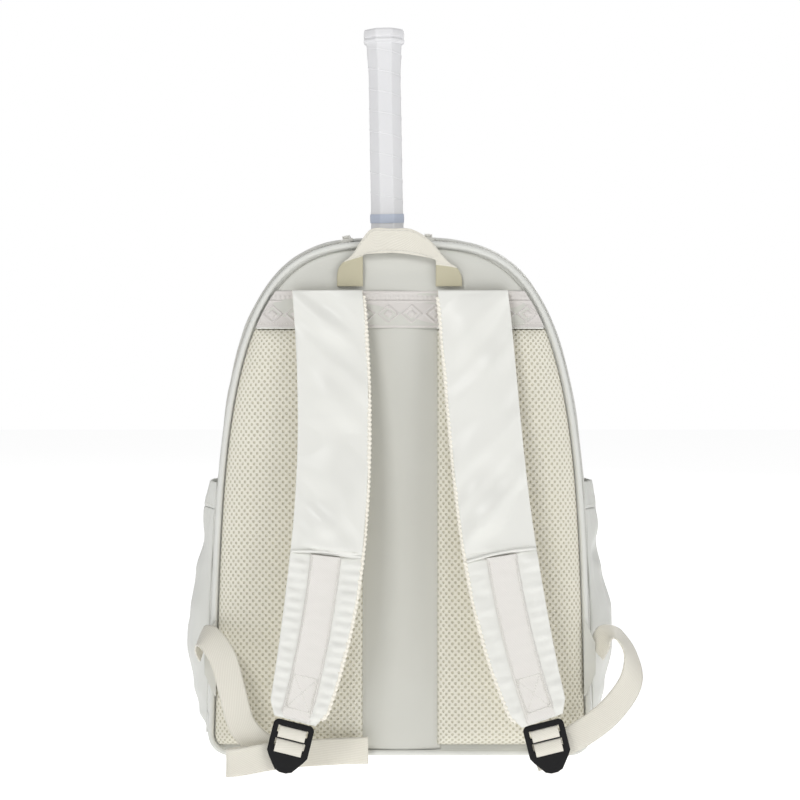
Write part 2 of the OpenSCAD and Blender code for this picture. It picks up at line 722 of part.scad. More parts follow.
// Half of the head's egg outline at height z, inset d
function egg(d) = [for (a = [0:7.5:352.5]) [
    (head_w / 2 - d) * sin(a) * (1 + 0.06 * cos(a)), head_l / 2 - (head_l / 2 - d) * cos(a)]];
module racket_frame() {
    arm_in = shaft_w / 2;
    color("white") in_racket_frame() rotate([90, 0, 0])
        translate([0, 0, -beam / 2]) linear_extrude(beam) union() {
            difference() {
                polygon(egg(0));
                polygon(egg(tube_w));
            }
            polygon([
                [66, head_l - 34], [50, head_l - 26], [0, head_l + throat_l - 24],
                [-50, head_l - 26], [-66, head_l - 34], [-arm_in, head_l + throat_l],
                [-arm_in, shaft_top - gap], [arm_in, shaft_top - gap], [arm_in, head_l + throat_l]
            ]);
        }
}
string_r = 0.65;
string_pitch = 13;
module racket_strings() {
    inner = tube_w + gap;
    rx = head_w / 2 - inner;
    rz = head_l / 2 - inner;
    color("lightyellow") in_racket_frame() translate([0, 0, head_l / 2]) {
        for (i = [-8:8]) let (x = i * string_pitch, h = rz * sqrt(1 - pow(x / (rx - 6), 2)) - 2)
            translate([x, -string_r - 0.05, -h]) cylinder(r = string_r, h = 2 * h, $fn = 16);
        for (i = [-10:10]) let (z = i * string_pitch, h = (rx - 6) * sqrt(1 - pow(z / rz, 2)) - 2)
            translate([-h, string_r + 0.05, z]) rotate([0, 90, 0])
                cylinder(r = string_r, h = 2 * h, $fn = 16);
    }
}
// Octagonal grip
module racket_grip() {
    c = grip_w / 2;
    k = c * 0.45;
    color("white") in_racket_frame() translate([0, 0, shaft_top]) linear_extrude(grip_l - cap_l - gap)
        polygon([[c, -k], [c, k], [k, c], [-k, c], [-c, k], [-c, -k], [-k, -c], [k, -c]]);
}
module racket_butt_cap() {
    color("white") in_racket_frame() translate([0, 0, racket_l - cap_l]) rotate_extrude($fn = 48)
        polygon([[0, 0], [grip_w / 2 + 1, 0], [19.5, cap_l - 5], [19.5, cap_l - 2], [17.5, cap_l], [0, cap_l]]);
}

back_panel();
back_pad_left();
back_pad_right();
centre_column();
yoke();
yoke_tape();
yoke_trim();
back_piping();
racket_gusset();
racket_zip();
divider();
main_gusset();
main_zip_rear();
base_panel();
base_board();
front_panel();
front_piping();
front_pocket();
pocket_zip();
laptop_sleeve();
sleeve_binding();
side_pocket_left();
side_pocket_right();
pocket_hem_left();
pocket_hem_right();
webbing_tab_left();
webbing_tab_right();
adjuster_webbing_left();
adjuster_webbing_right();
flap_panel();
flap_gusset();
flap_piping();
main_zip_front();
strap_cover_left();
strap_lower_left();
strap_foam_left();
strap_mesh_left();
strap_webbing_left();
strap_cover_right();
strap_lower_right();
strap_foam_right();
strap_mesh_right();
strap_webbing_right();
ladder_lock_left();
ladder_lock_right();
grab_handle();
racket_slider_left();
racket_slider_right();
main_slider_left();
main_slider_right();
pocket_slider();
racket_puller_left();
racket_puller_right();
main_puller_left();
main_puller_right();
pocket_puller();
racket_frame();
racket_strings();
racket_grip();
racket_butt_cap();
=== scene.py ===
import math
from bisect import bisect
import bpy
import bmesh
from mathutils import Matrix, Vector, noise


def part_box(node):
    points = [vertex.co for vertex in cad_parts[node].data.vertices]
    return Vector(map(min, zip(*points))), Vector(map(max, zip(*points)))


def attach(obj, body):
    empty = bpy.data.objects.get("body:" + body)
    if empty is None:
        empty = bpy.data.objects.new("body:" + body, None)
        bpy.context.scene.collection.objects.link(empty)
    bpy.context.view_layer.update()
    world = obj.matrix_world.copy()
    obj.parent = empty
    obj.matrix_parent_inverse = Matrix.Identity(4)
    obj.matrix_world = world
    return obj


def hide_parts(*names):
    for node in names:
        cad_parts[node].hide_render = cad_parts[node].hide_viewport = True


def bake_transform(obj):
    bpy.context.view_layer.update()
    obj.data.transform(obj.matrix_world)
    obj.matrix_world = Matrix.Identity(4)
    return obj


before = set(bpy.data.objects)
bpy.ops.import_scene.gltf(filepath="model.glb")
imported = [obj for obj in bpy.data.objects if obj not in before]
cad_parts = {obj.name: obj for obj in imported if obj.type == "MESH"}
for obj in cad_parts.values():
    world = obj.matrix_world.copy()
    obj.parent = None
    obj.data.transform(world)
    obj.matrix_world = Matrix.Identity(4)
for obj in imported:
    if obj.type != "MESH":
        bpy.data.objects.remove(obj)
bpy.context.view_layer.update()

scene = bpy.context.scene
mm = 0.001


# small helpers
def smooth(x):
    x = max(0.0, min(1.0, x))
    return x * x * (3 - 2 * x)


def lerp(a, b, t):
    return a + (b - a) * t


def along(table, x):
    # value at x in a table of (x, value) pairs, eased between them
    if x <= table[0][0]:
        return table[0][1]
    for (x0, v0), (x1, v1) in zip(table, table[1:]):
        if x <= x1:
            return lerp(v0, v1, smooth((x - x0) / (x1 - x0)))
    return table[-1][1]


def ripple(x, y, z, size, depth):
    # soft fabric unevenness: size is the width of a fold, depth its height
    return depth * noise.noise(Vector((x, y, z)) / size)


def bell(x, width):
    # a soft bump, 1 where x is 0
    return math.exp(-(x / width) ** 2)


def curveAt(points, u):
    # Catmull-Rom through points of any length, u from 0 to 1
    n = len(points) - 1
    i = min(int(u * n), n - 1)
    t = u * n - i
    a, b, c, d = (Vector(points[max(0, min(n, i + k))]) for k in (-1, 0, 1, 2))
    return 0.5 * (2 * b + (c - a) * t + (2 * a - 5 * b + 4 * c - d) * t * t
                  + (3 * b - a - 3 * c + d) * t * t * t)


def gridInto(bm, across, up, place, uvSize=(1, 1)):
    # a grid of faces, each corner put where place(u, v) says; UVs are in metres
    uv = bm.loops.layers.uv.verify()
    made = bmesh.ops.create_grid(bm, x_segments=across, y_segments=up, size=0.5)["verts"]
    spot = {v: (v.co.x + 0.5, v.co.y + 0.5) for v in made}
    for face in {f for v in made for f in v.link_faces}:
        face.smooth = True
        for loop in face.loops:
            u, v = spot[loop.vert]
            loop[uv].uv = uvSize(u, v) if callable(uvSize) else (u * uvSize[0], v * uvSize[1])
    for v, (a, b) in spot.items():
        v.co = place(a, b)
    return made


def openEdges(bm):
    return [e for e in bm.edges if e.is_boundary]


def pieceFrom(bm, name, body, look, nodes=(), facing=None, weld=0.00002, thick=0,
              closeEnds=False, inward=True):
    # turns a bmesh into a finished piece that rides on a body
    if weld:
        bmesh.ops.remove_doubles(bm, verts=bm.verts, dist=weld)
    if closeEnds:
        bmesh.ops.holes_fill(bm, edges=openEdges(bm), sides=0)
    if facing == "closed":
        bmesh.ops.recalc_face_normals(bm, faces=bm.faces)
    elif facing is not None:
        bm.normal_update()
        if callable(facing):
            lean = sum(f.normal.dot(facing(f.calc_center_median())) * f.calc_area() for f in bm.faces)
        else:
            lean = sum(f.normal.dot(Vector(facing)) * f.calc_area() for f in bm.faces)
        if lean < 0:
            bmesh.ops.reverse_faces(bm, faces=bm.faces)
    mesh = bpy.data.meshes.new(name)
    bm.to_mesh(mesh)
    bm.free()
    piece = bpy.data.objects.new(name, mesh)
    scene.collection.objects.link(piece)
    if thick:
        wall = piece.modifiers.new("wall", "SOLIDIFY")
        wall.thickness = thick
        wall.offset = -1 if inward else 0
        wall.use_even_offset = False
    settle(piece)
    dress(piece, look)
    if body:
        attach(piece, body)
    if nodes:
        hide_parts(*nodes)
    return piece


def settle(piece):
    # applies the modifiers
    if not piece.modifiers:
        return
    bpy.context.view_layer.update()
    seen = piece.evaluated_get(bpy.context.evaluated_depsgraph_get())
    mesh = bpy.data.meshes.new_from_object(seen)
    piece.modifiers.clear()
    piece.data = mesh


def dress(piece, look):
    piece.data.materials.clear()
    piece.data.materials.append(look)


def refined(node, name, body, look, bevel, segments=3, angle=35):
    # a copy of a CAD node with its edges rounded, standing for it
    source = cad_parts[node]
    bm = bmesh.new()
    bm.from_mesh(source.data)
    bmesh.ops.remove_doubles(bm, verts=bm.verts, dist=0.00001)
    bmesh.ops.dissolve_limit(bm, angle_limit=math.radians(1), verts=bm.verts, edges=bm.edges)
    sharp = [e for e in bm.edges if len(e.link_faces) == 2 and e.calc_face_angle(0) > math.radians(angle)]
    bmesh.ops.bevel(bm, geom=sharp, offset=bevel, offset_type="OFFSET", segments=segments,
                    profile=0.5, affect="EDGES", clamp_overlap=True, material=-1)
    bmesh.ops.triangulate(bm, faces=[f for f in bm.faces if len(f.verts) > 4])
    for face in bm.faces:
        face.smooth = True
    mesh = bpy.data.meshes.new(name)
    bm.to_mesh(mesh)
    bm.free()
    mesh.set_sharp_from_angle(angle=math.radians(30))
    piece = bpy.data.objects.new(name, mesh)
    scene.collection.objects.link(piece)
    dress(piece, look)
    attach(piece, body)
    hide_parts(node)
    return piece


def puff(piece, voxel, pressure, cap, frames=20, hold=None):
    # swells a closed soft shape as cloth under pressure; hold(point) says how free it is, 0 to 1
    remesh = piece.modifiers.new("even", "REMESH")
    remesh.mode = "VOXEL"
    remesh.voxel_size = voxel
    settle(piece)
    start = [v.co.copy() for v in piece.data.vertices]
    cloth = piece.modifiers.new("cloth", "CLOTH")
    cloth.settings.quality = 5
    cloth.settings.use_pressure = True
    cloth.settings.uniform_pressure_force = pressure
    cloth.settings.effector_weights.gravity = 0
    cloth.settings.tension_stiffness = 12
    cloth.settings.bending_stiffness = 0.6
    cloth.point_cache.frame_start = 1
    cloth.point_cache.frame_end = frames
    for step in range(1, frames + 1):
        scene.frame_set(step)
    settle(piece)
    scene.frame_set(1)
    for v, was in zip(piece.data.vertices, start):
        move = v.co - was
        if move.length > cap:
            move *= cap / move.length
        v.co = was + move * (hold(was) if hold else 1)
    soft = piece.modifiers.new("soft", "SUBSURF")
    soft.levels = soft.render_levels = 1
    settle(piece)
    for face in piece.data.polygons:
        face.use_smooth = True
    return piece


def stitchesInto(bm, line, length, radius, pitch):
    # short rounded threads along a line of (point, outward) pairs
    for (a, out), (b, _) in zip(line, line[1:]):
        way = b - a
        if way.length < 1e-6:
            continue
        x = way.normalized()
        z = (out - x * out.dot(x)).normalized()
        turn = Matrix((x, z.cross(x), z)).transposed().to_4x4()
        count = max(1, round(way.length / pitch))
        for i in range(count):
            spot = a + way * ((i + 0.5) / count)
            place = Matrix.Translation(spot) @ turn @ Matrix.Diagonal((length / 2, radius, radius, 1))
            bmesh.ops.create_icosphere(bm, subdivisions=1, radius=1, matrix=place)


def stitchPiece(lines, name, body, look, length=2.6 * mm, radius=0.35 * mm, pitch=3.4 * mm):
    bm = bmesh.new()
    for line in lines:
        stitchesInto(bm, line, length, radius, pitch)
    for face in bm.faces:
        face.smooth = True
    return pieceFrom(bm, name, body, look, weld=0, facing="closed")


# node groups that several finishes use
def newGroup(name, inputs, outputs):
    group = bpy.data.node_groups.new(name, "ShaderNodeTree")
    for label, kind, value in inputs:
        socket = group.interface.new_socket(name=label, in_out="INPUT", socket_type=kind)
        if value is not None:
            socket.default_value = value
    for label in outputs:
        group.interface.new_socket(name=label, in_out="OUTPUT", socket_type="NodeSocketFloat")
    return group, group.nodes.new("NodeGroupInput"), group.nodes.new("NodeGroupOutput")


def mathNode(tree, kind, a, b=None):
    node = tree.nodes.new("ShaderNodeMath")
    node.operation = kind
    for i, value in enumerate((a, b)):
        if value is None:
            continue
        if isinstance(value, (int, float)):
            node.inputs[i].default_value = value
        else:
            tree.links.new(value, node.inputs[i])
    return node.outputs[0]


def waveNode(tree, kind, axis, pitch, turn=2 * math.pi):
    # a SINE or COSINE along an axis, one turn for each pitch
    return mathNode(tree, kind, mathNode(tree, "MULTIPLY", mathNode(tree, "DIVIDE", axis, pitch), turn))


def splitAxes(tree, vector):
    node = tree.nodes.new("ShaderNodeSeparateXYZ")
    tree.links.new(vector, node.inputs[0])
    return node.outputs


def weaveGroup():
    # plain weave: threads over and under, in metres
    vectorIn = ("Vector", "NodeSocketVector", None)
    group, start, end = newGroup("plainWeave", [vectorIn, ("Pitch", "NodeSocketFloat", 0.0006)], ["Height"])
    waves = [waveNode(group, "SINE", axis, start.outputs["Pitch"], math.pi)
             for axis in splitAxes(group, start.outputs["Vector"])[:2]]
    both = mathNode(group, "MULTIPLY", waves[0], waves[1])
    height = mathNode(group, "ADD", mathNode(group, "MULTIPLY", both, 0.5), 0.5)
    group.links.new(height, end.inputs["Height"])
    return group


def ribGroup():
    # slanted ribs of woven webbing; Slant is how far a rib climbs across the width
    group, start, end = newGroup(
        "webbingRibs",
        [("Vector", "NodeSocketVector", None), ("Pitch", "NodeSocketFloat", 0.0012),
         ("Slant", "NodeSocketFloat", 0.6), ("Warp", "NodeSocketFloat", 0.0007)],
        ["Height", "Streak"])
    x, y = splitAxes(group, start.outputs["Vector"])[:2]
    climb = mathNode(group, "ADD", y, mathNode(group, "MULTIPLY", x, start.outputs["Slant"]))
    ribs = waveNode(group, "SINE", climb, start.outputs["Pitch"])
    warp = waveNode(group, "SINE", x, start.outputs["Warp"])
    height = mathNode(group, "ADD", mathNode(group, "MULTIPLY", ribs, 0.35),
                      mathNode(group, "MULTIPLY", warp, 0.15))
    group.links.new(mathNode(group, "ADD", height, 0.5), end.inputs["Height"])
    stretch = group.nodes.new("ShaderNodeMapping")
    stretch.inputs["Scale"].default_value = (900, 25, 25)
    group.links.new(start.outputs["Vector"], stretch.inputs["Vector"])
    cloud = group.nodes.new("ShaderNodeTexNoise")
    cloud.inputs["Scale"].default_value = 1
    cloud.inputs["Detail"].default_value = 2
    group.links.new(stretch.outputs[0], cloud.inputs["Vector"])
    group.links.new(cloud.outputs[0], end.inputs["Streak"])
    return group


def netGroup():
    # staggered round holes of a spacer mesh, on coordinates in metres
    group, start, end = newGroup(
        "spacerHoles",
        [("Vector", "NodeSocketVector", None), ("PitchX", "NodeSocketFloat", 0.0065),
         ("PitchY", "NodeSocketFloat", 0.0068)],
        ["Hole", "Height"])
    x, y = splitAxes(group, start.outputs["Vector"])[:2]
    across = waveNode(group, "COSINE", x, start.outputs["PitchX"])
    up = waveNode(group, "COSINE", y, start.outputs["PitchY"])
    # cos*cos peaks at the cell's corner and its middle, which staggers the rows
    cell = mathNode(group, "MULTIPLY", across, up)
    ramp = group.nodes.new("ShaderNodeMapRange")
    ramp.inputs["From Min"].default_value = 0.22
    ramp.inputs["From Max"].default_value = 0.72
    group.links.new(cell, ramp.inputs["Value"])
    group.links.new(ramp.outputs[0], end.inputs["Hole"])
    group.links.new(mathNode(group, "SUBTRACT", 1.0, ramp.outputs[0]), end.inputs["Height"])
    return group


def cloudGroup():
    # slow unevenness of dyed cloth: two noises, 0 to 1
    group, start, end = newGroup(
        "clothCloud", [("Vector", "NodeSocketVector", None), ("Size", "NodeSocketFloat", 12.0)],
        ["Cloud", "Fine"])
    for label, scale in (("Cloud", 1.0), ("Fine", 22.0)):
        cloud = group.nodes.new("ShaderNodeTexNoise")
        cloud.inputs["Detail"].default_value = 4
        group.links.new(start.outputs["Vector"], cloud.inputs["Vector"])
        group.links.new(mathNode(group, "MULTIPLY", start.outputs["Size"], scale), cloud.inputs["Scale"])
        group.links.new(cloud.outputs[0], end.inputs[label])
    return group


groups = {"weave": weaveGroup(), "ribs": ribGroup(), "net": netGroup(), "cloud": cloudGroup()}


def finishOf(name, colour, shade, rough, pattern=None, settings=None, bump=0.1, bumpSize=0.0002,
             useUv=False, sheen=0.0, metallic=0.0, specular=0.5, coat=0.0, hollowShade=None, turn=None):
    # colour and shade are the light and dark of its cloudiness; the pattern's low parts are tinted darker,
    # painted shade in their grooves and holes (a mesh's holes also show its deeper layer)
    material = bpy.data.materials.new(name)
    material.use_nodes = True
    tree = material.node_tree
    tree.nodes.clear()
    out = tree.nodes.new("ShaderNodeOutputMaterial")
    skin = tree.nodes.new("ShaderNodeBsdfPrincipled")
    tree.links.new(skin.outputs[0], out.inputs[0])
    skin.inputs["Metallic"].default_value = metallic
    skin.inputs["Sheen Weight"].default_value = sheen
    skin.inputs["Specular IOR Level"].default_value = specular
    skin.inputs["Coat Weight"].default_value = coat
    place = tree.nodes.new("ShaderNodeTexCoord")
    vector = place.outputs["UV"] if useUv else place.outputs["Object"]
    cloud = tree.nodes.new("ShaderNodeGroup")
    cloud.node_tree = groups["cloud"]
    tree.links.new(place.outputs["Object"], cloud.inputs["Vector"])
    mix = tree.nodes.new("ShaderNodeMix")
    mix.data_type = "RGBA"
    mix.inputs["A"].default_value = (*shade, 1)
    mix.inputs["B"].default_value = (*colour, 1)
    tree.links.new(cloud.outputs["Cloud"], mix.inputs["Factor"])
    colourOut = mix.outputs["Result"]
    height = cloud.outputs["Fine"]
    if pattern:
        if turn:
            axes = splitAxes(tree, vector)
            joined = tree.nodes.new("ShaderNodeCombineXYZ")
            for i, axis in enumerate(turn):
                tree.links.new(axes[axis], joined.inputs[i])
            vector = joined.outputs[0]
        made = tree.nodes.new("ShaderNodeGroup")
        made.node_tree = groups[pattern]
        tree.links.new(vector, made.inputs["Vector"])
        for label, value in (settings or {}).items():
            made.inputs[label].default_value = value
        height = made.outputs["Height"]
        if hollowShade:
            # painted shade: the pattern's low parts (webbing grooves, mesh holes) are tinted darker
            tint = tree.nodes.new("ShaderNodeMix")
            tint.data_type = "RGBA"
            tint.inputs["A"].default_value = (*hollowShade, 1)
            tree.links.new(colourOut, tint.inputs["B"])
            tree.links.new(height, tint.inputs["Factor"])
            colourOut = tint.outputs["Result"]
    tree.links.new(colourOut, skin.inputs["Base Color"])
    spread = tree.nodes.new("ShaderNodeMapRange")
    spread.inputs["To Min"].default_value = max(0.02, rough - 0.07)
    spread.inputs["To Max"].default_value = min(1, rough + 0.07)
    tree.links.new(cloud.outputs["Fine"], spread.inputs["Value"])
    tree.links.new(spread.outputs[0], skin.inputs["Roughness"])
    relief = tree.nodes.new("ShaderNodeBump")
    relief.inputs["Strength"].default_value = bump
    relief.inputs["Distance"].default_value = bumpSize
    tree.links.new(height, relief.inputs["Height"])
    tree.links.new(relief.outputs[0], skin.inputs["Normal"])
    return material


finish = {
    "shell": finishOf("shellCloth", (0.75, 0.755, 0.72), (0.69, 0.695, 0.655), 0.5, "weave",
                      {"Pitch": 0.0005}, 0.12, 0.0001, sheen=0.15, turn=(1, 2, 0)),
    # a darker copy of the straps' off-white cloth: partly its slightly greyer tone, partly painted shade
    "front": finishOf("frontCloth", (0.66, 0.66, 0.615), (0.605, 0.605, 0.555), 0.5, "weave",
                      {"Pitch": 0.0005}, 0.12, 0.0001, sheen=0.15, turn=(0, 2, 1)),
    "strap": finishOf("strapCloth", (0.83, 0.83, 0.79), (0.79, 0.79, 0.745), 0.38, "weave",
                      {"Pitch": 0.0006}, 0.1, 0.0001, sheen=0.2, turn=(0, 2, 1)),
    "net": finishOf("padMesh", (0.83, 0.805, 0.70), (0.78, 0.75, 0.645), 0.75, "net", None, 0.9, 0.0008,
                    useUv=True, sheen=0.2, hollowShade=(0.60, 0.57, 0.44)),
    "netUv": finishOf("strapMesh", (0.90, 0.865, 0.76), (0.86, 0.825, 0.715), 0.75, "net",
                      {"PitchX": 0.005, "PitchY": 0.0052}, 0.8, 0.0008, useUv=True, sheen=0.2,
                      hollowShade=(0.62, 0.58, 0.45)),
    "netPlain": finishOf("meshBinding", (0.95, 0.92, 0.83), (0.90, 0.86, 0.76), 0.7, None, None, 0.3,
                         0.0002, sheen=0.2),
    "band": finishOf("gripBandTape", (0.55, 0.60, 0.70), (0.50, 0.55, 0.66), 0.4, None, None, 0.1, 0.0001),
    "webbing": finishOf("ivoryWebbing", (0.88, 0.855, 0.77), (0.80, 0.77, 0.68), 0.42, "ribs",
                        {"Pitch": 0.0016, "Slant": 0.25}, 0.5, 0.0003, useUv=True, sheen=0.3,
                        hollowShade=(0.72, 0.69, 0.60)),
    "silver": finishOf("silverWebbing", (0.91, 0.895, 0.86), (0.78, 0.76, 0.72), 0.36, "ribs",
                       {"Pitch": 0.0018, "Slant": 1.0}, 0.5, 0.0003, useUv=True, sheen=0.3,
                       hollowShade=(0.76, 0.73, 0.69)),
    # painted shade: a darker copy of the webbing for the grab handle's shaded legs
    "handleBack": finishOf("oliveWebbing", (0.60, 0.56, 0.40), (0.55, 0.51, 0.36), 0.55, "ribs",
                           {"Pitch": 0.0018, "Slant": 1.0}, 0.4, 0.0003, useUv=True, sheen=0.3,
                           hollowShade=(0.48, 0.45, 0.32)),
    "tape": finishOf("satinTape", (0.73, 0.70, 0.675), (0.65, 0.62, 0.595), 0.34, "weave",
                     {"Pitch": 0.0009}, 0.25, 0.0002, sheen=0.3, turn=(0, 2, 1)),
    "lining": finishOf("greyLining", (0.42, 0.43, 0.43), (0.37, 0.38, 0.38), 0.6, "weave",
                       {"Pitch": 0.0006}, 0.2, 0.0001, turn=(0, 2, 1)),
    "foam": finishOf("creamFoam", (0.85, 0.80, 0.62), (0.80, 0.75, 0.57), 0.9, None, None, 0.4, 0.0005),
    "zipTape": finishOf("zipTape", (0.74, 0.74, 0.70), (0.68, 0.68, 0.645), 0.6, "weave", {"Pitch": 0.0009},
                        0.3, 0.0002, turn=(1, 2, 0)),
    "coil": finishOf("zipCoil", (0.70, 0.70, 0.66), (0.63, 0.63, 0.59), 0.35, None, None, 0.1, 0.0001),
    "thread": finishOf("thread", (0.86, 0.85, 0.80), (0.80, 0.79, 0.74), 0.5, None, None, 0.3, 0.0001),
    "metal": finishOf("lacqueredMetal", (0.78, 0.77, 0.72), (0.72, 0.71, 0.66), 0.3, None, None, 0.1,
                      0.0001, coat=0.4),
    "board": finishOf("stiffBoard", (0.12, 0.12, 0.13), (0.10, 0.10, 0.11), 0.6, None, None, 0.2, 0.0003),
    "buckle": finishOf("blackPlastic", (0.007, 0.007, 0.008), (0.004, 0.004, 0.005), 0.5, None, None, 0.25,
                       0.0001, specular=0.22),
    "grip": finishOf("gripWrap", (0.80, 0.80, 0.81), (0.75, 0.75, 0.765), 0.38, None, None, 0.15, 0.0001,
                     coat=0.1),
    "paint": finishOf("racketPaint", (0.85, 0.85, 0.86), (0.83, 0.83, 0.84), 0.2, None, None, 0.05, 0.0001,
                      coat=0.6),
    "string": finishOf("stringNylon", (0.86, 0.84, 0.72), (0.80, 0.78, 0.66), 0.3, None, None, 0.1, 0.0001),
}
print("finishes made")

# camera, light and floor
stage = {"distance": 1.735, "eye": 0.400, "lens": 78.6, "shiftY": -0.076, "floorHalf": 6.0,
         "world": 0.20, "floorGlow": 0.84}


def makeStage():
    camera = bpy.data.cameras.new("camera")
    camera.lens = stage["lens"]
    camera.sensor_width = 36
    camera.shift_y = stage["shiftY"]
    eye = bpy.data.objects.new("camera", camera)
    eye.location = (0, -stage["distance"], stage["eye"])
    eye.rotation_euler = (math.pi / 2, 0, 0)
    scene.collection.objects.link(eye)
    scene.camera = eye
    for name, spot, aim, size, power in (
        ("keyLight", (-1.0, -2.2, 1.9), (0, 0, 0.25), 0.8, 26),
        ("fillLight", (1.9, -1.6, 1.1), (0, 0, 0.25), 1.2, 13),
        ("topLight", (0, 0.5, 2.6), (0, 0, 0.2), 1.6, 12),
        ("rearLight", (1.2, 2.4, 1.7), (0, 0, 0.25), 1.4, 16),
    ):
        lamp = bpy.data.lights.new(name, "AREA")
        lamp.size = size
        lamp.energy = power
        holder = bpy.data.objects.new(name, lamp)
        holder.location = spot
        holder.rotation_euler = (Vector(aim) - Vector(spot)).to_track_quat("-Z", "Y").to_euler()
        scene.collection.objects.link(holder)
    world = bpy.data.worlds.new("studio")
    world.use_nodes = True
    # the surroundings are seen as white but light the bag less strongly
    tree = world.node_tree
    tree.nodes["Background"].inputs[0].default_value = (1, 1, 1, 1)
    rays = tree.nodes.new("ShaderNodeLightPath")
    strength = tree.nodes.new("ShaderNodeMapRange")
    strength.inputs["To Min"].default_value = stage["world"]
    strength.inputs["To Max"].default_value = 1.0
    tree.links.new(rays.outputs["Is Camera Ray"], strength.inputs["Value"])
    tree.links.new(strength.outputs[0], tree.nodes["Background"].inputs[1])
    scene.world = world
    scene.view_settings.view_transform = "Standard"
    bm = bmesh.new()
    bmesh.ops.create_grid(bm, x_segments=2, y_segments=2, size=stage["floorHalf"])
    mesh = bpy.data.meshes.new("floor")
    bm.to_mesh(mesh)
    bm.free()
    paper = bpy.data.materials.new("paper")
    paper.use_nodes = True
    skin = paper.node_tree.nodes["Principled BSDF"]
    skin.inputs["Base Color"].default_value = (0.6, 0.6, 0.6, 1)
    skin.inputs["Roughness"].default_value = 0.8
    skin.inputs["Emission Color"].default_value = (1, 1, 1, 1)
    skin.inputs["Emission Strength"].default_value = stage["floorGlow"]
    mesh.materials.append(paper)
    floor = bpy.data.objects.new("floor", mesh)
    scene.collection.objects.link(floor)


makeStage()
print("stage made")

# the bag's outline
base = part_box("base_panel")
bag = {
    "height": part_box("main_gusset")[1].z, "archStart": 0.100, "archPower": 3.5, "sideLean": 0.03,
    "cornerRadius": 0.026, "backY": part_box("back_panel")[0].y, "frontY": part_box("front_panel")[1].y,
    "foldZ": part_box("flap_panel")[0].z, "baseZ": base[1].z, "racketZipZ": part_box("racket_zip")[0].z,
    "panelInset": 0.0113,
}
bag["halfWidth"] = base[1].x + bag["sideLean"] * bag["cornerRadius"]
# the gap in the racket's zip where the handle comes out, from the grip's left side
mouthRoom = {"left": 0.016, "right": 0.046}
mouth = (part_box("racket_grip")[0].x - mouthRoom["left"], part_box("racket_grip")[0].x + mouthRoom["right"])


def halfWidth(z, inset=0.0):
    lean = bag["halfWidth"] - inset - bag["sideLean"] * z
    if z <= bag["archStart"]:
        return lean
    rise = (z - bag["archStart"]) / (bag["height"] - inset - bag["archStart"])
    return lean * max(0.0, 1 - rise ** bag["archPower"]) ** (1 / bag["archPower"])


def rimTable():
    r, power = bag["cornerRadius"], bag["archPower"]
    cx = bag["halfWidth"] - bag["sideLean"] * r - r
    half = [(cx * i / 40, 0.0) for i in range(40)]
    half += [(cx + r * math.sin(a), r - r * math.cos(a)) for a in (math.pi / 2 * i / 24 for i in range(24))]
    half += [(halfWidth(z), z) for z in (lerp(r, bag["archStart"], i / 20) for i in range(20))]
    for i in range(301):
        a = math.pi / 2 * (1 - (1 - i / 300) ** 1.5)
        z = bag["archStart"] + (bag["height"] - bag["archStart"]) * math.sin(a) ** (2 / power)
        half.append(((bag["halfWidth"] - bag["sideLean"] * z) * math.cos(a) ** (2 / power), z))
    full = half + [(-x, z) for x, z in reversed(half[:-1])]
    length = [0.0]
    for p, q in zip(full, full[1:]):
        length.append(length[-1] + math.dist(p, q))
    return full, length


rimPoints, rimLength = rimTable()
around = rimLength[-1]


def rimRaw(s):
    s = (s % 1.0) * around
    i = max(1, min(len(rimLength) - 1, bisect(rimLength, s)))
    span = rimLength[i] - rimLength[i - 1]
    t = (s - rimLength[i - 1]) / span if span else 0
    (x0, z0), (x1, z1) = rimPoints[i - 1], rimPoints[i]
    return x0 + (x1 - x0) * t, z0 + (z1 - z0) * t


def rim(s, inset=0.0):
    # a point on the outline, s from 0 at the middle of the base, up the +X side and round
    x, z = rimRaw(s)
    ax, az = rimRaw(s - 0.002)
    bx, bz = rimRaw(s + 0.002)
    way = math.hypot(bx - ax, bz - az)
    out = ((bz - az) / way, -(bx - ax) / way)
    return x - out[0] * inset, z - out[1] * inset, out


def sideAt(z):
    # s of the +X side at height z
    low, high = 0.12, 0.5
    for _ in range(30):
        mid = (low + high) / 2
        low, high = (mid, high) if rimRaw(mid)[1] < z else (low, mid)
    return low


def archAt(x):
    # s of the top of the arch at x
    low, high = 0.30, 0.70
    for _ in range(30):
        mid = (low + high) / 2
        low, high = (mid, high) if rimRaw(mid)[0] > x else (low, mid)
    return low


# how far the skin lies inside the widest outline, from the back (y) to the front
skinInset = [(-0.076, 0.0052), (-0.070, 0.0043), (-0.060, 0.0040), (-0.0595, 0.0040), (-0.042, 0.0008),
             (-0.034, -0.0006), (-0.005, -0.0022), (0.020, -0.0018), (0.037, 0.0003), (0.055, 0.0003),
             (0.064, -0.0002), (0.073, 0.0016), (0.0765, 0.0040)]


floorGap = 0.0004    # nothing goes lower than this


def skin(s, y, lift=0.0):
    # a point of the gusset, lifted off it by lift; the cloth is slightly uneven between its seams
    x, z = rimRaw(s)
    calm = smooth((y + 0.076) / 0.04) * smooth((0.076 - y) / 0.03) * smooth((z - 0.03) / 0.05)
    inset = along(skinInset, y) + calm * (ripple(x, y, z, 0.07, 0.0022) + ripple(x, y, z, 0.025, 0.0007))
    px, pz = rim(s, inset - lift)[:2]
    return Vector((px, y, max(pz, floorGap)))


def outward(p):
    return Vector((p.x, 0, p.z - 0.2))


def bandPiece(name, spans, body, finishKey, nodes, thick=0.0, lift=0.0, step=0.004, rows=8):
    # spans are (s0, s1, y0, y1); each is one strip of the gusset
    bm = bmesh.new()
    for s0, s1, y0, y1 in spans:
        count = max(4, round((s1 - s0) * around / step))
        gridInto(bm, count, rows, lambda u, v: skin(lerp(s0, s1, u), lerp(y0, y1, v), lift),
                 ((s1 - s0) * around, y1 - y0))
    return pieceFrom(bm, name, body, finish[finishKey], nodes, facing=outward, thick=thick)


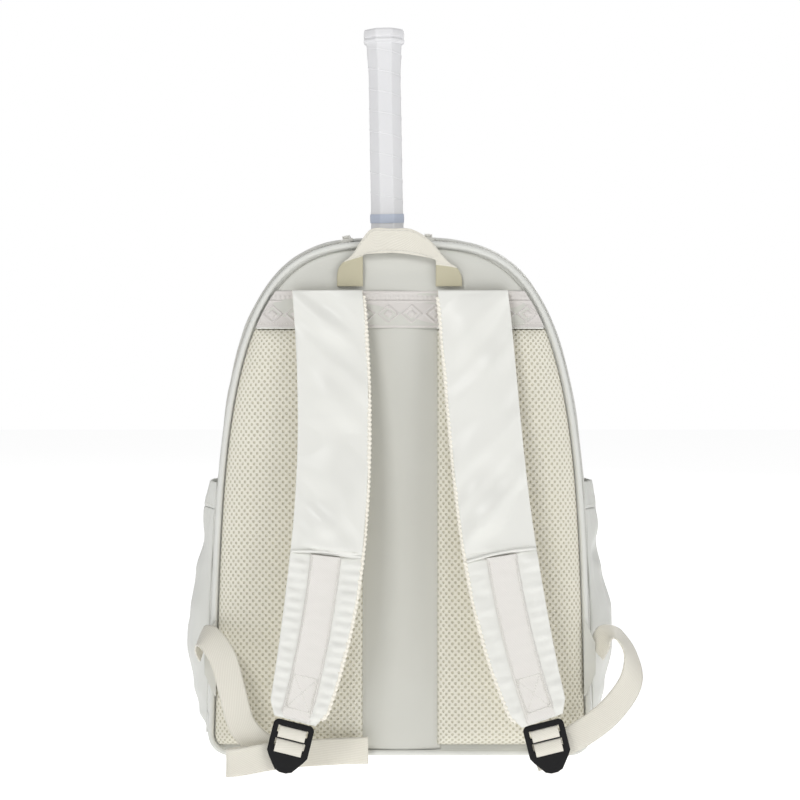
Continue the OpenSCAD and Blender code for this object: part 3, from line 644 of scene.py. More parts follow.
def tubeInto(bm, line, radius, sides=8, ridge=0.0, turns=0, flat=1.0):
    # a round tube along line(u) -> (centre, outward); ridge makes the turns of a zip's coil
    count = line["count"]

    def place(u, v):
        centre, out = line["at"](u)
        ahead = line["at"](min(1, u + 0.5 / count))[0] - line["at"](max(0, u - 0.5 / count))[0]
        way = ahead.normalized()
        out = (out - way * out.dot(way)).normalized()
        side = way.cross(out)
        r = radius * (1 + ridge * math.sin(u * turns * 2 * math.pi))
        a = v * 2 * math.pi
        return centre + out * (r * flat * math.cos(a)) + side * (r * math.sin(a))

    return gridInto(bm, count, sides, place, (line["length"], radius * 6))


def rimLine(s0, s1, y, inset, lift=0.0, step=0.004, onSkin=False):
    def at(u):
        s = lerp(s0, s1, u)
        if onSkin:
            p = skin(s, y, lift)
            return p, Vector((rim(s)[2][0], 0, rim(s)[2][1]))
        x, z, out = rim(s, inset)
        return Vector((x, y, z)), Vector((out[0], 0, out[1]))
    length = (s1 - s0) * around
    return {"at": at, "count": max(8, round(length / step)), "length": length}


def tubePiece(name, lines, radius, body, finishKey, slot, nodes=(), **shape):
    bm = bmesh.new()
    for line in lines:
        tubeInto(bm, line, radius, **shape)
    return pieceFrom(bm, name, body, finish[finishKey], nodes, facing="closed", closeEnds=True)


sFold, sBase, sZip = sideAt(bag["foldZ"]), sideAt(bag["baseZ"]), sideAt(bag["racketZipZ"])
sMouthRight, sMouthLeft = archAt(mouth[1]), archAt(mouth[0])
yBack, yFront = bag["backY"], bag["frontY"]
racketZipY = (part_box("racket_zip")[0].y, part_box("racket_zip")[1].y)
mainZipY = (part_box("main_zip_rear")[0].y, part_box("main_zip_front")[1].y)
mainMid = (mainZipY[0] + mainZipY[1]) / 2


# gusset, base, zips and piping
gusset = {"wall": 0.0035, "tapeWall": 0.0016, "rearSeam": 0.0005, "mouthStrip": 0.008, "coil": 0.0021,
          "coilTurn": 0.0016, "coilGap": 0.0012, "stitchGap": 0.0025, "stitchLift": 0.0002,
          "stitchStep": 0.01}
piping = {"back": 0.0027, "front": 0.0028, "proud": 0.0022, "backInset": 0.0078, "frontInset": 0.0040,
          "weltInset": (0.0050, 0.0120), "weltBow": 0.0016, "weltWall": 0.001}
coilShape = {"sides": 6, "ridge": 0.22, "flat": 0.55}


def seamAlong(s0, s1, y):
    # points of a line of stitches on the gusset
    line = rimLine(s0, s1, y, 0, gusset["stitchLift"], gusset["stitchStep"], onSkin=True)
    return [line["at"](i / line["count"]) for i in range(line["count"] + 1)]


def makeGussets():
    wall = gusset["wall"]
    rear = yBack + gusset["rearSeam"]
    strip = gusset["mouthStrip"]
    bandPiece("racketGusset", [
        (sBase, sMouthRight, rear, racketZipY[0]), (sMouthLeft, 1 - sBase, rear, racketZipY[0]),
        (sMouthRight, sMouthLeft, rear, rear + strip),
        (sBase, sZip, racketZipY[0], racketZipY[1]), (1 - sZip, 1 - sBase, racketZipY[0], racketZipY[1]),
    ], "bag", "shell", ["racket_gusset"], wall)
    bandPiece("mainGusset", [
        (sBase, sMouthRight, racketZipY[1], mainZipY[0]),
        (sMouthLeft, 1 - sBase, racketZipY[1], mainZipY[0]),
        (sMouthRight, sMouthLeft, racketZipY[1] + strip, mainZipY[0]),
        (sBase, sFold, mainZipY[0], yFront), (1 - sFold, 1 - sBase, mainZipY[0], yFront),
    ], "bag", "shell", ["main_gusset"], wall, rows=20)
    bandPiece("basePanel", [(-sBase, sBase, rear, yFront)], "bag", "shell", ["base_panel"],
              wall, lift=0.0003, rows=30)
    bandPiece("flapGusset", [(sFold, 1 - sFold, mainZipY[1], yFront)], "flap", "shell",
              ["flap_gusset"], wall, rows=10)
    for name, spans, body, nodes in (
        ("racketZipTape", [(sZip, sMouthRight, *racketZipY), (sMouthLeft, 1 - sZip, *racketZipY)], "bag",
         ["racket_zip"]),
        ("mainZipTapeRear", [(sFold, 1 - sFold, mainZipY[0], mainMid)], "bag", ["main_zip_rear"]),
        ("mainZipTapeFront", [(sFold, 1 - sFold, mainMid, mainZipY[1])], "flap", ["main_zip_front"]),
    ):
        bandPiece(name, spans, body, "zipTape", nodes, gusset["tapeWall"], lift=-0.0008, rows=6)
    for name, spans, y, body in (
        ("racketZipCoil", [(sZip, sMouthRight), (sMouthLeft, 1 - sZip)], sum(racketZipY) / 2, "bag"),
        ("mainZipCoilRear", [(sFold, 1 - sFold)], mainMid - gusset["coilGap"], "bag"),
        ("mainZipCoilFront", [(sFold, 1 - sFold)], mainMid + gusset["coilGap"], "flap"),
    ):
        lines = [rimLine(a, b, y, 0, 0.0, gusset["coilTurn"] / 3, onSkin=True) for a, b in spans]
        radius = gusset["coil"] if y < 0 else gusset["coil"] * 0.6
        count = round((spans[0][1] - spans[0][0]) * around / gusset["coilTurn"])
        tubePiece(name, lines, radius, body, "coil", "zip_tape", turns=count, **coilShape)
    gap = gusset["stitchGap"]
    seams = [(s0, s1, y) for y in (racketZipY[0] - gap, racketZipY[1] + gap)
             for s0, s1 in ((sBase, sMouthRight), (sMouthLeft, 1 - sBase))]
    seams.append((sFold, 1 - sFold, mainZipY[0] - gap))
    stitchPiece([seamAlong(*seam) for seam in seams], "gussetStitching", "bag", finish["thread"])
    stitchPiece([seamAlong(sFold, 1 - sFold, mainZipY[1] + gap)], "flapStitching", "flap", finish["thread"])


def makePipings():
    tubePiece("backPiping", [rimLine(0, 1, yBack - piping["proud"], piping["backInset"])], piping["back"],
              "bag",
              "shell", "shell_fabric", ["back_piping"], sides=14)

    # the piping's seam allowance, between its bead and the gusset
    def welt(u, v):
        x, z = rim(u, lerp(*piping["weltInset"], v))[:2]
        return Vector((x, yBack + piping["weltBow"] / 2 - piping["weltBow"] * math.sin(v * math.pi), z))

    bm = bmesh.new()
    gridInto(bm, 360, 3, welt, (around, 0.008))
    pieceFrom(bm, "backWelt", "bag", finish["shell"], facing=(0, -1, 0),
              thick=piping["weltWall"])
    for name, s0, s1, body, node in (("frontPiping", -sFold, sFold, "bag", "front_piping"),
                                     ("flapPiping", sFold, 1 - sFold, "flap", "flap_piping")):
        tubePiece(name, [rimLine(s0, s1, yFront + piping["proud"], piping["frontInset"])], piping["front"],
                  body, "shell", "shell_fabric", [node], sides=14)


makeGussets()
makePipings()
print("gussets, zips and piping made")


# flat and padded panels
def edgeX(z, inset):
    # half width at z with the bottom corner rounded, for an inset outline
    r = max(bag["cornerRadius"] - inset, 0.004)
    w = halfWidth(z, inset)
    if z < inset + r:
        w -= r - math.sqrt(max(0.0, r * r - (inset + r - z) ** 2))
    return max(0.0, w)


def rimDistance(p, inset, zLow):
    # roughly how far a point lies inside a panel's edge
    lean = bag["halfWidth"] - inset - bag["sideLean"] * p.z
    rise = max(0.0, 1 - min(1, abs(p.x) / lean) ** bag["archPower"]) ** (1 / bag["archPower"])
    roof = bag["archStart"] + (bag["height"] - inset - bag["archStart"]) * rise
    return min(halfWidth(min(p.z, bag["height"] - inset), inset) - abs(p.x), roof - p.z, p.z - zLow)


def outlineLoop(inset, zLow, zHigh, steps=180):
    # points of the inset outline between two heights, closed by straight lines
    loop = []
    for i in range(steps):
        x, z, _ = rim(i / steps, inset)
        loop.append((x, z))
    kept = [(x, z) for x, z in loop if zLow <= z <= zHigh]
    if zHigh < bag["height"] - inset:
        w = halfWidth(zHigh, inset)
        kept += [(w, zHigh), (-w, zHigh)]
    if zLow > inset:
        w = halfWidth(zLow, inset)
        kept += [(-w, zLow), (w, zLow)]
    middle = (zLow + min(zHigh, bag["height"])) / 2
    return sorted(kept, key=lambda p: math.atan2(p[1] - middle, p[0]))


# a swollen panel is held still near its rim and free further in
rimHold = {"held": 0.004, "fade": 0.03}


def slabPiece(name, inset, zLow, zHigh, y0, y1, body, finishKey, nodes, rounding=0.0012,
              sim=None):
    bm = bmesh.new()
    ring = [bm.verts.new((x, y0, z)) for x, z in outlineLoop(inset, zLow, zHigh)]
    face = bm.faces.new(ring)
    out = bmesh.ops.extrude_face_region(bm, geom=[face])
    moved = [v for v in out["geom"] if isinstance(v, bmesh.types.BMVert)]
    bmesh.ops.translate(bm, vec=(0, y1 - y0, 0), verts=moved)
    if sim:
        bmesh.ops.recalc_face_normals(bm, faces=bm.faces)
        piece = pieceFrom(bm, name, None, finish[finishKey], facing="closed")
        puff(piece, *sim, hold=lambda p: smooth((rimDistance(p, inset,
                                                             zLow) - rimHold["held"]) / rimHold["fade"]))
        dress(piece, finish[finishKey])
        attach(piece, body)
        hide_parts(*nodes)
        return piece
    rims = [e for e in bm.edges if abs(e.verts[0].co.y - e.verts[1].co.y) < 1e-6 and len(e.link_faces) == 2]
    bmesh.ops.recalc_face_normals(bm, faces=bm.faces)
    bmesh.ops.bevel(bm, geom=rims, offset=rounding, segments=3, profile=0.5, affect="EDGES", material=-1)
    return pieceFrom(bm, name, body, finish[finishKey], nodes, facing="closed")


panels = {"padStep": 0.0014, "padRoll": 0.020, "padCrown": 0.0014, "dimple": 0.0005, "stretch": 0.013,
          "outerPull": 0.014, "innerPull": 0.010, "endPull": 0.012, "unevenness": 0.0012, "holeX": 0.0065,
          "holeY": 0.0068, "wall": 0.0015}


def padHeight(edge, height, roll):
    # rounded edge, flat middle
    e = min(edge / roll, 1.0)
    return height * math.sqrt(max(0.0, 1 - (1 - e) ** 2))


def makePad(side):
    low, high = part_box("back_pad_right")
    name = "backPadRight" if side > 0 else "backPadLeft"
    node = "back_pad_right" if side > 0 else "back_pad_left"
    x0, z0, z1, height = low.x, low.z, high.z, high.y - low.y
    inset = bag["panelInset"]
    across = round((high.x - x0) / panels["padStep"])
    up = round((z1 - z0) / panels["padStep"])

    def cloth(u, v):
        # where a point lies on the unstretched mesh, which is drawn tight round the pad's outer edges
        z = lerp(z0, z1, v)
        wide = edgeX(z, inset) - x0
        x = x0 + wide * u
        x += panels["stretch"] * math.exp(-(1 - u) * wide / panels["outerPull"])
        x -= panels["stretch"] * 0.3 * math.exp(-u * wide / panels["innerPull"])
        ends = math.exp(-(z1 - z) / panels["endPull"]) - math.exp(-(z - z0) / panels["endPull"])
        z += panels["stretch"] * 0.5 * ends
        return side * x, z

    def place(u, v):
        z = lerp(z0, z1, v)
        wide = edgeX(z, inset) - x0
        x = x0 + wide * u
        edge = min(u * wide * 1.8, (1 - u) * wide, (z - z0) * 1.4, (z1 - z) * 1.8)
        h = padHeight(edge, height, panels["padRoll"])
        h += panels["padCrown"] * math.sin(u * math.pi) * smooth(edge / 0.03)
        h += smooth(edge / 0.02) * ripple(side * x, 0, z, 0.06, panels["unevenness"])
        cx, cz = cloth(u, v)
        hole = math.cos(2 * math.pi * cx / panels["holeX"]) * math.cos(2 * math.pi * cz / panels["holeY"])
        h -= panels["dimple"] * smooth((hole - 0.2) / 0.5) * smooth(edge / 0.004)
        return Vector((side * x, yBack - max(h, 0.0), z))

    bm = bmesh.new()
    gridInto(bm, across, up, place, cloth)
    pad = pieceFrom(bm, name, "bag", finish["net"], [node], facing=(0, -1, 0), weld=0,
                    thick=panels["wall"])


backPanel = {"inset": 0.0095, "rear": 0.0005, "front": 0.0075}
column = {"overlap": 0.004, "tuck": 0.006, "rise": 0.0018, "crown": 0.0010, "unevenness": 0.0008,
          "wall": 0.001}


def makeColumn():
    # smooth column between the pads
    low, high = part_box("centre_column")
    wide = high.x + column["overlap"]

    def place(u, v):
        x, z = lerp(-wide, wide, u), lerp(low.z - column["overlap"], high.z + column["tuck"], v)
        h = column["rise"] + column["crown"] * math.cos(u * 2 * math.pi - math.pi)
        h += ripple(x, 3, z, 0.09, column["unevenness"])
        return Vector((x, yBack - h * smooth(min(u, 1 - u) * 12), z))

    bm = bmesh.new()
    gridInto(bm, 40, 180, place, (2 * wide, high.z - low.z))
    pieceFrom(bm, "centreColumn", "bag", finish["front"], ["centre_column"],
              facing=(0, -1, 0),
              thick=column["wall"])


yokeShape = {"rise": 0.0034, "roll": 0.012, "foldZ": 0.463, "foldSlope": 0.05, "foldWidth": 0.010,
             "foldDepth": 0.0016, "unevenness": 0.0012, "wall": 0.001}


def makeYoke():
    # yoke above the tape: soft hollows spread from the handle's seam
    zLow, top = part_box("yoke")[0].z, bag["height"] - bag["panelInset"] - 0.0005
    span = halfWidth(zLow, bag["panelInset"])
    lean = bag["halfWidth"] - bag["panelInset"] - bag["sideLean"] * top
    power = bag["archPower"]

    def place(u, v):
        # columns lean with the arch so that every row ends on it
        x = span * math.sin((u - 0.5) * math.pi) / math.sin(math.pi / 2)
        arch = max(0.0, 1 - min(1, abs(x) / lean) ** power) ** (1 / power)
        roof = max(bag["archStart"] + (top - bag["archStart"]) * arch, zLow)
        z = lerp(zLow, roof, v)
        edge = min((1 - v) * (roof - zLow), (span - abs(x)) * 0.7)
        h = yokeShape["rise"] * math.sqrt(max(0.0, 1 - (1 - min(edge / yokeShape["roll"], 1)) ** 2)) + 0.0003
        fold = bell(z - yokeShape["foldZ"] - yokeShape["foldSlope"] * abs(x), yokeShape["foldWidth"])
        fold *= smooth((0.12 - abs(x)) / 0.08)
        h -= yokeShape["foldDepth"] * fold * smooth(edge / 0.01)
        h += smooth(edge / 0.015) * ripple(x, 7, z * 2, 0.05, yokeShape["unevenness"])
        return Vector((x, yBack - max(h, 0.0002), z))

    bm = bmesh.new()
    gridInto(bm, 120, 50, place, (0.3, 0.1))
    bmesh.ops.dissolve_degenerate(bm, dist=0.0001, edges=bm.edges)
    piece = pieceFrom(bm, "yoke", "bag", finish["front"], ["yoke"], facing=(0, -1, 0),
                      thick=yokeShape["wall"])


def makeBackFace():
    slabPiece("backPanel", backPanel["inset"], 0, bag["height"], yBack + backPanel["rear"],
              yBack + backPanel["front"], "bag", "front", ["back_panel"])
    makeColumn()
    makeYoke()


# large and small are half the width and height of the two diamonds
tape = {"lift": 0.0036, "relief": 0.0014, "step": 0.0009, "pitch": 0.022, "large": (0.0105, 0.0092),
        "small": (0.0050, 0.0044), "lip": 0.0005, "endGap": 0.0005, "unevenness": 0.0006, "wall": 0.0012}
trim = {"step": 0.0008, "lift": 0.0004, "cord": 0.0012, "bump": 0.0007, "bumpPitch": 0.0045, "wall": 0.001}
binding = {"radius": 0.0009, "proud": 0.0042, "rise": 0.0006, "endInset": 0.013}


def tapeRelief(x, z, high):
    # raised outlines of small and large diamonds, side by side
    px = ((x / tape["pitch"]) % 1.0 - 0.5) * tape["pitch"]
    large = abs(px) / tape["large"][0] + abs(z) / tape["large"][1]
    small = abs(px) / tape["small"][0] + abs(z) / tape["small"][1]
    shape = max(smooth(1 - abs(large - 0.88) / 0.14), smooth((1 - small) / 0.35))
    return high * shape


def makeTapes():
    low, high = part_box("yoke_tape")
    middle = (low.z + high.z) / 2
    bm = bmesh.new()
    count = round((high.x - low.x) / tape["step"])

    def tapeAt(u, v):
        z = lerp(low.z, high.z, v)
        wide = halfWidth(z, bag["panelInset"] + tape["endGap"])
        x = lerp(-wide, wide, u)
        lip = tape["lip"] if v < 0.06 or v > 0.94 else 0.0
        h = tape["lift"] + tapeRelief(x, z - middle, tape["relief"]) + lip
        h += ripple(x, 5, z, 0.05, tape["unevenness"])
        return Vector((x, yBack - h, z))

    gridInto(bm, count, 34, tapeAt, (high.x - low.x, high.z - low.z))
    pieceFrom(bm, "yokeTape", "bag", finish["tape"], ["yoke_tape"], facing=(0, -1, 0),
              thick=tape["wall"])
    low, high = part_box("yoke_trim")
    bm = bmesh.new()

    def trimAt(u, v):
        z = lerp(low.z, high.z + 0.001, v)
        wide = halfWidth(z, bag["panelInset"] + tape["endGap"])
        x = lerp(-wide, wide, u)
        # a bright cord along the top edge, small oval bumps below it
        cord = trim["cord"] * bell(v - 0.86, 0.13)
        bump = trim["bump"] * abs(math.sin(x / trim["bumpPitch"] * math.pi)) * bell(v - 0.28, 0.18)
        y = yBack - tape["lift"] - trim["lift"] - cord - bump - ripple(x, 5, z, 0.05, tape["unevenness"])
        return Vector((x, y, z))

    gridInto(bm, round((high.x - low.x) / trim["step"]), 14, trimAt, (high.x - low.x, high.z - low.z))
    pieceFrom(bm, "yokeTrim", "bag", finish["tape"], ["yoke_trim"], facing=(0, -1, 0),
              thick=trim["wall"])
    # bindings where the pads meet the tape
    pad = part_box("back_pad_right")
    lines = []
    for side in (-1, 1):
        bm = bmesh.new()
        x0, z1, y = pad[0].x, pad[1].z, yBack - binding["proud"]

        def over(u, side=side):
            x = side * lerp(x0, halfWidth(z1, binding["endInset"]), u)
            return Vector((x, y, z1 + binding["rise"])), Vector((0, -1, 0))

        tubeInto(bm, {"at": over, "count": 28, "length": 0.11}, binding["radius"], sides=8)
        name = "padBindingRight" if side > 0 else "padBindingLeft"
        pieceFrom(bm, name, "bag", finish["strap"], facing="closed", closeEnds=True)
        lines.append([over(i / 20) for i in range(21)])
    above = Vector((0, -0.0005, 0.004))
    stitchPiece([[(p + above, n) for p, n in line] for line in lines], "tapeStitching", "bag",
                finish["thread"], 0.0022, 0.0003, 0.003)


for side in (-1, 1):
    makePad(side)
makeBackFace()
makeTapes()
print("back pads, yoke and tapes made")


def makeInside():
    low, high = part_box("divider")
    slabPiece("divider", 0.0090, 0, bag["height"], low.y + 0.0003, high.y - 0.0003, "bag", "lining",
              ["divider"], 0.002)
    refined("base_board", "baseBoard", "bag", finish["board"], 0.001)
    refined("laptop_sleeve", "laptopSleeve", "bag", finish["lining"], 0.0015)
    refined("sleeve_binding", "sleeveBinding", "bag", finish["webbing"], 0.0015)


# flapSim is voxel size, pressure and how far a point may move
front = {"flapSim": (0.0035, 3.5, 0.004), "panelInset": 0.0050, "flapRear": 0.001, "flapFront": 0.0006}
pocketShape = {"inset": 0.0078, "foot": 0.007, "squareness": 7.0, "facePart": 0.78, "roll": 0.10,
               "rollDepth": 0.007, "swell": 0.002, "zipDepth": 0.0035, "wall": 0.0015}
pocketZip = {"tape": 0.0028, "coil": 0.0016, "wall": 0.0012}


def makeFront():
    inset = front["panelInset"]
    low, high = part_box("flap_panel")
    slabPiece("flapPanel", inset, low.z, bag["height"], low.y - front["flapRear"],
              high.y + front["flapFront"],
              "flap", "front", ["flap_panel"], sim=front["flapSim"])
    low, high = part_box("front_panel")
    slabPiece("frontPanel", inset, 0, high.z, low.y, high.y, "bag", "front", ["front_panel"])
    box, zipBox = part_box("front_pocket"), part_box("pocket_zip")
    zipLow, zipHigh, zipX = zipBox[0].z, zipBox[1].z, zipBox[1].x
    zipMid = (zipLow + zipHigh) / 2
    faceY, rootY = box[1].y, box[0].y
    top, bottom = box[1].z, pocketShape["foot"]
    wide = halfWidth(0.1, pocketShape["inset"])
    power, part = pocketShape["squareness"], pocketShape["facePart"]

    def pocket(u, v):
        # polar: u goes round, v from the middle of the face out to the seam and down the side
        a = (u + 0.25) % 1.0 * 2 * math.pi
        cz, tall = (top + bottom) / 2, (top - bottom) / 2
        c, s = math.cos(a), math.sin(a)
        reach = (abs(c) ** power + abs(s) ** power) ** (-1 / power)
        face = min(v / part, 1.0)
        side = max(0.0, (v - part) / 0.22)
        x, z = wide * c * reach * face, cz + tall * s * reach * face
        x *= (halfWidth(z, pocketShape["inset"]) / wide)
        edge = (1 - face)
        rolled = math.sqrt(max(0.0, 1 - max(0.0, 1 - edge / pocketShape["roll"]) ** 2))
        seamY = faceY - pocketShape["rollDepth"]
        y = lerp(seamY, faceY + pocketShape["swell"], rolled) if side == 0 else lerp(seamY, rootY, side)
        y += smooth(edge / 0.1) * (ripple(x, 9, z, 0.07, 0.003) + ripple(x, 11, z, 0.03, 0.001))
        near = smooth((0.012 - abs(z - zipMid)) / 0.004) * smooth((zipX + 0.004 - abs(x)) / 0.004)
        if side == 0:
            y = lerp(y, faceY - pocketShape["zipDepth"], near)
        return Vector((x, y, z))

    bm = bmesh.new()
    gridInto(bm, 360, 90, pocket, (0.9, 0.2))
    pieceFrom(bm, "frontPocket", "bag", finish["front"], ["front_pocket"], facing=(0, 1, 0),
              weld=0.0004, thick=pocketShape["wall"])

    # the pocket's zip
    def tapeAt(u, v):
        return Vector((lerp(-zipX, zipX, u), faceY - pocketZip["tape"], lerp(zipLow, zipHigh, v)))

    def coilAt(u):
        return Vector((lerp(-zipX, zipX, u), faceY - pocketZip["coil"], zipMid)), Vector((0, 1, 0))

    bm = bmesh.new()
    gridInto(bm, 80, 8, tapeAt, (2 * zipX, zipHigh - zipLow))
    pieceFrom(bm, "pocketZipTape", "bag", finish["zipTape"], ["pocket_zip"], facing=(0, 1, 0),
              thick=pocketZip["wall"])
    length = 2 * zipX
    line = {"at": coilAt, "count": round(length / gusset["coilTurn"] * 3), "length": length}
    tubePiece("pocketZipCoil", [line], gusset["coil"], "bag", "coil", "zip_tape",
              turns=round(length / gusset["coilTurn"]), **coilShape)


makeInside()
makeFront()
print("inside and front made")


# side pockets
sidePocket = {
    # how far the cloth stands out at each height; the top of the pocket is added by the code
    "bulge": [(0.034, 0.0110), (0.060, 0.0175), (0.098, 0.0262), (0.134, 0.0255), (0.172, 0.0170),
              (0.210, 0.0130), (0.248, 0.0105)],
    "footBulge": 0.0045, "topBulge": 0.0100, "widest": 0.0255, "belly": 0.62, "seamGap": 0.001,
    "fold": 0.0036, "smallFold": 0.0018, "gather": 0.0016, "gathers": 13, "dent": 0.006, "tuck": 0.022,
    "wall": 0.0016,
}
hemShape = {"swell": 0.0011, "crimp": 0.0007, "crimps": 26, "sink": 0.0006, "stitchUp": 0.0035,
            "stitchLift": 0.0008}


def makeSidePocket(side):
    tag = "Right" if side > 0 else "Left"
    node = "right" if side > 0 else "left"
    low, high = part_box("side_pocket_" + node)
    y0, y1 = low.y, high.y
    reach = max(abs(low.x), abs(high.x))
    top = high.z
    bulgeZ = [(low.z, sidePocket["footBulge"]), *sidePocket["bulge"], (top, sidePocket["topBulge"])]
    scale = (reach - halfWidth(0.11)) / sidePocket["widest"]

    def outer(u, z, lift=0.0):
        # u goes from the rear seam to the front seam
        y = lerp(y0 + sidePocket["seamGap"], y1 - sidePocket["seamGap"], u)
        belly = math.sin(math.pi * min(1, max(0, u))) ** sidePocket["belly"]
        depth = along(bulgeZ, z) * scale * belly
        calm = smooth(u / 0.12) * smooth((1 - u) / 0.12)
        fold = ripple(y, side * 3, z, 0.050, sidePocket["fold"])
        fold += ripple(y * 2, side * 5, z * 0.7, 0.022, sidePocket["smallFold"])
        # the cloth is drawn together under the elastic hem
        gather = sidePocket["gather"] * math.sin(u * math.pi * sidePocket["gathers"] + side)
        gather *= smooth((z - 0.19) / 0.04)
        depth += calm * (fold + gather)
        depth = min(max(depth, 0.001), reach - halfWidth(z) + 0.0005)
        dent = sidePocket["dent"] * bell(z - 0.192, 0.012) * bell(u - 0.25, 0.16) if side > 0 else 0.0
        depth = max(depth - dent, 0.0008)
        return Vector((side * (halfWidth(z) + depth + lift), y, z))

    def place(u, v):
        z = lerp(low.z, top, v)
        p = outer(u, z)
        # the bottom is tucked in under the belly
        tuck = smooth((low.z + sidePocket["tuck"] - z) / sidePocket["tuck"])
        p.x = lerp(p.x, side * (halfWidth(z) + 0.0012), tuck * tuck)
        return p

    bm = bmesh.new()
    gridInto(bm, 70, 150, place, (0.1, top - low.z))
    pieceFrom(bm, "sidePocket" + tag, "bag", finish["shell"], ["side_pocket_" + node],
              facing=lambda p: Vector((side, 0, 0)), thick=sidePocket["wall"])
    # elastic hem folded over the mouth
    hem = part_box("pocket_hem_" + node)

    def hemAt(u, v):
        a = v * 2 * math.pi
        z = lerp(hem[0].z, hem[1].z, 0.5 + 0.5 * math.sin(a))
        swell = hemShape["swell"] * math.cos(a)
        crimp = hemShape["crimp"] * math.sin(u * math.pi * hemShape["crimps"]) * (1 if math.cos(a) > 0 else 0)
        return outer(u, z, swell + crimp - hemShape["sink"])

    bm = bmesh.new()
    gridInto(bm, 110, 28, hemAt, (0.1, 0.06))
    pieceFrom(bm, "pocketHem" + tag, "bag", finish["shell"], ["pocket_hem_" + node],
              facing="closed", closeEnds=True)
    z = hem[0].z + hemShape["stitchUp"]
    line = [(outer(i / 40, z, hemShape["stitchLift"]), Vector((side, 0, 0))) for i in range(1, 40)]
    stitchPiece([line], "hemStitching" + tag, "bag", finish["thread"], 0.0024, 0.0003, 0.0032)


for side in (-1, 1):
    makeSidePocket(side)
print("side pockets made")


# shoulder straps
strap = {
    "left": [(-0.0685, -0.0873, 0.446), (-0.056, -0.1093, 0.315), (-0.060, -0.128, 0.183),
             (-0.096, -0.139, 0.052)],
    "right": [(0.0685, -0.0873, 0.446), (0.082, -0.1093, 0.315), (0.083, -0.128, 0.183),
              (0.130, -0.139, 0.052)],
    "seam": 0.62, "half": 0.033, "narrow": 0.008, "hinge": 0.10,
    "coverOut": 0.0055, "coverIn": 0.0030, "coverMin": 0.0046, "coverMax": 0.0115, "crown": 0.0026,
    "diagonal": 0.0066, "wrinkle": 0.0044, "seamDip": 0.0030, "lowerMax": 0.0068, "lowerDip": 0.0022,
    "foam": 0.0035, "meshIn": 0.0052, "webHalf": 0.014, "webLift": 0.0058, "webWall": 0.0013,
    "puffPitch": 0.0092, "puff": 0.0016, "bead": 0.0021, "beadPitch": 0.0043, "twist": 0.26,
}


def bezier(points, t):
    a, b, c, d = (Vector(p) for p in points)
    k = 1 - t
    return a * k ** 3 + b * (3 * k * k * t) + c * (3 * k * t * t) + d * t ** 3


def strapFrame(tag, t):
    points = strap[tag]
    t = min(1.0, max(0.0, t))
    way = (bezier(points, min(1, t + 0.002)) - bezier(points, max(0, t - 0.002))).normalized()
    turn = min(1, t / 0.12)
    way = (way * turn - Vector((0, 0, 1 - turn))).normalized()
    across = Vector((-way.z, 0, way.x)).normalized()
    out = way.cross(across)
    if out.y > 0:
        out = -out
    return bezier(points, t), way, across, out


def strapHalf(t):
    wide = strap["half"] - strap["narrow"] * (max(0, (t - strap["seam"]) / 0.38)) ** 2
    return wide - (max(0.0, t - 0.97) * 0.18 if t > 0.97 else 0.0)


strapLength = {tag: sum((bezier(strap[tag], (i + 1) / 60) - bezier(strap[tag],
                                                                   i / 60)).length for i in range(60))
               for tag in ("left", "right")}


def strapPoint(tag, t, a, v):
    # a runs -1..1 across the strap, v metres out from its middle
    centre, _, across, out = strapFrame(tag, t)
    return centre + across * (a * strapHalf(t)) + out * v


def followStrap(piece, tag):
    # bakes the piece's transform into its mesh; it rides on no body
    strapPoint(tag, 0.0, 0, 0)
    strapPoint(tag, strap["hinge"], 0, 0)
    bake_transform(piece)


def tubeShell(bm, tag, t0, t1, lengthwise, across, outer, inner, halfExtra=0.0):
    # a closed section carried along the strap: outer(t, a) and inner(t, a) give v
    def place(u, v):
        t = lerp(t0, t1, u)
        turn = v * 2 * math.pi
        a = math.cos(turn)
        # the section is a flat oval: full width, rounded shoulders
        a = math.copysign(abs(a) ** 0.75, a)
        s = math.sin(turn)
        face = outer(t, a) if s >= 0 else inner(t, a)
        middle = (outer(t, 1.0) + inner(t, 1.0)) / 2
        w = abs(s) ** 0.45
        centre, _, acrossDir, out = strapFrame(tag, t)
        return centre + acrossDir * (a * (strapHalf(t) + halfExtra)) + out * lerp(middle, face, w)

    gridInto(bm, lengthwise, across, place, ((t1 - t0) * strapLength[tag], 0.14))


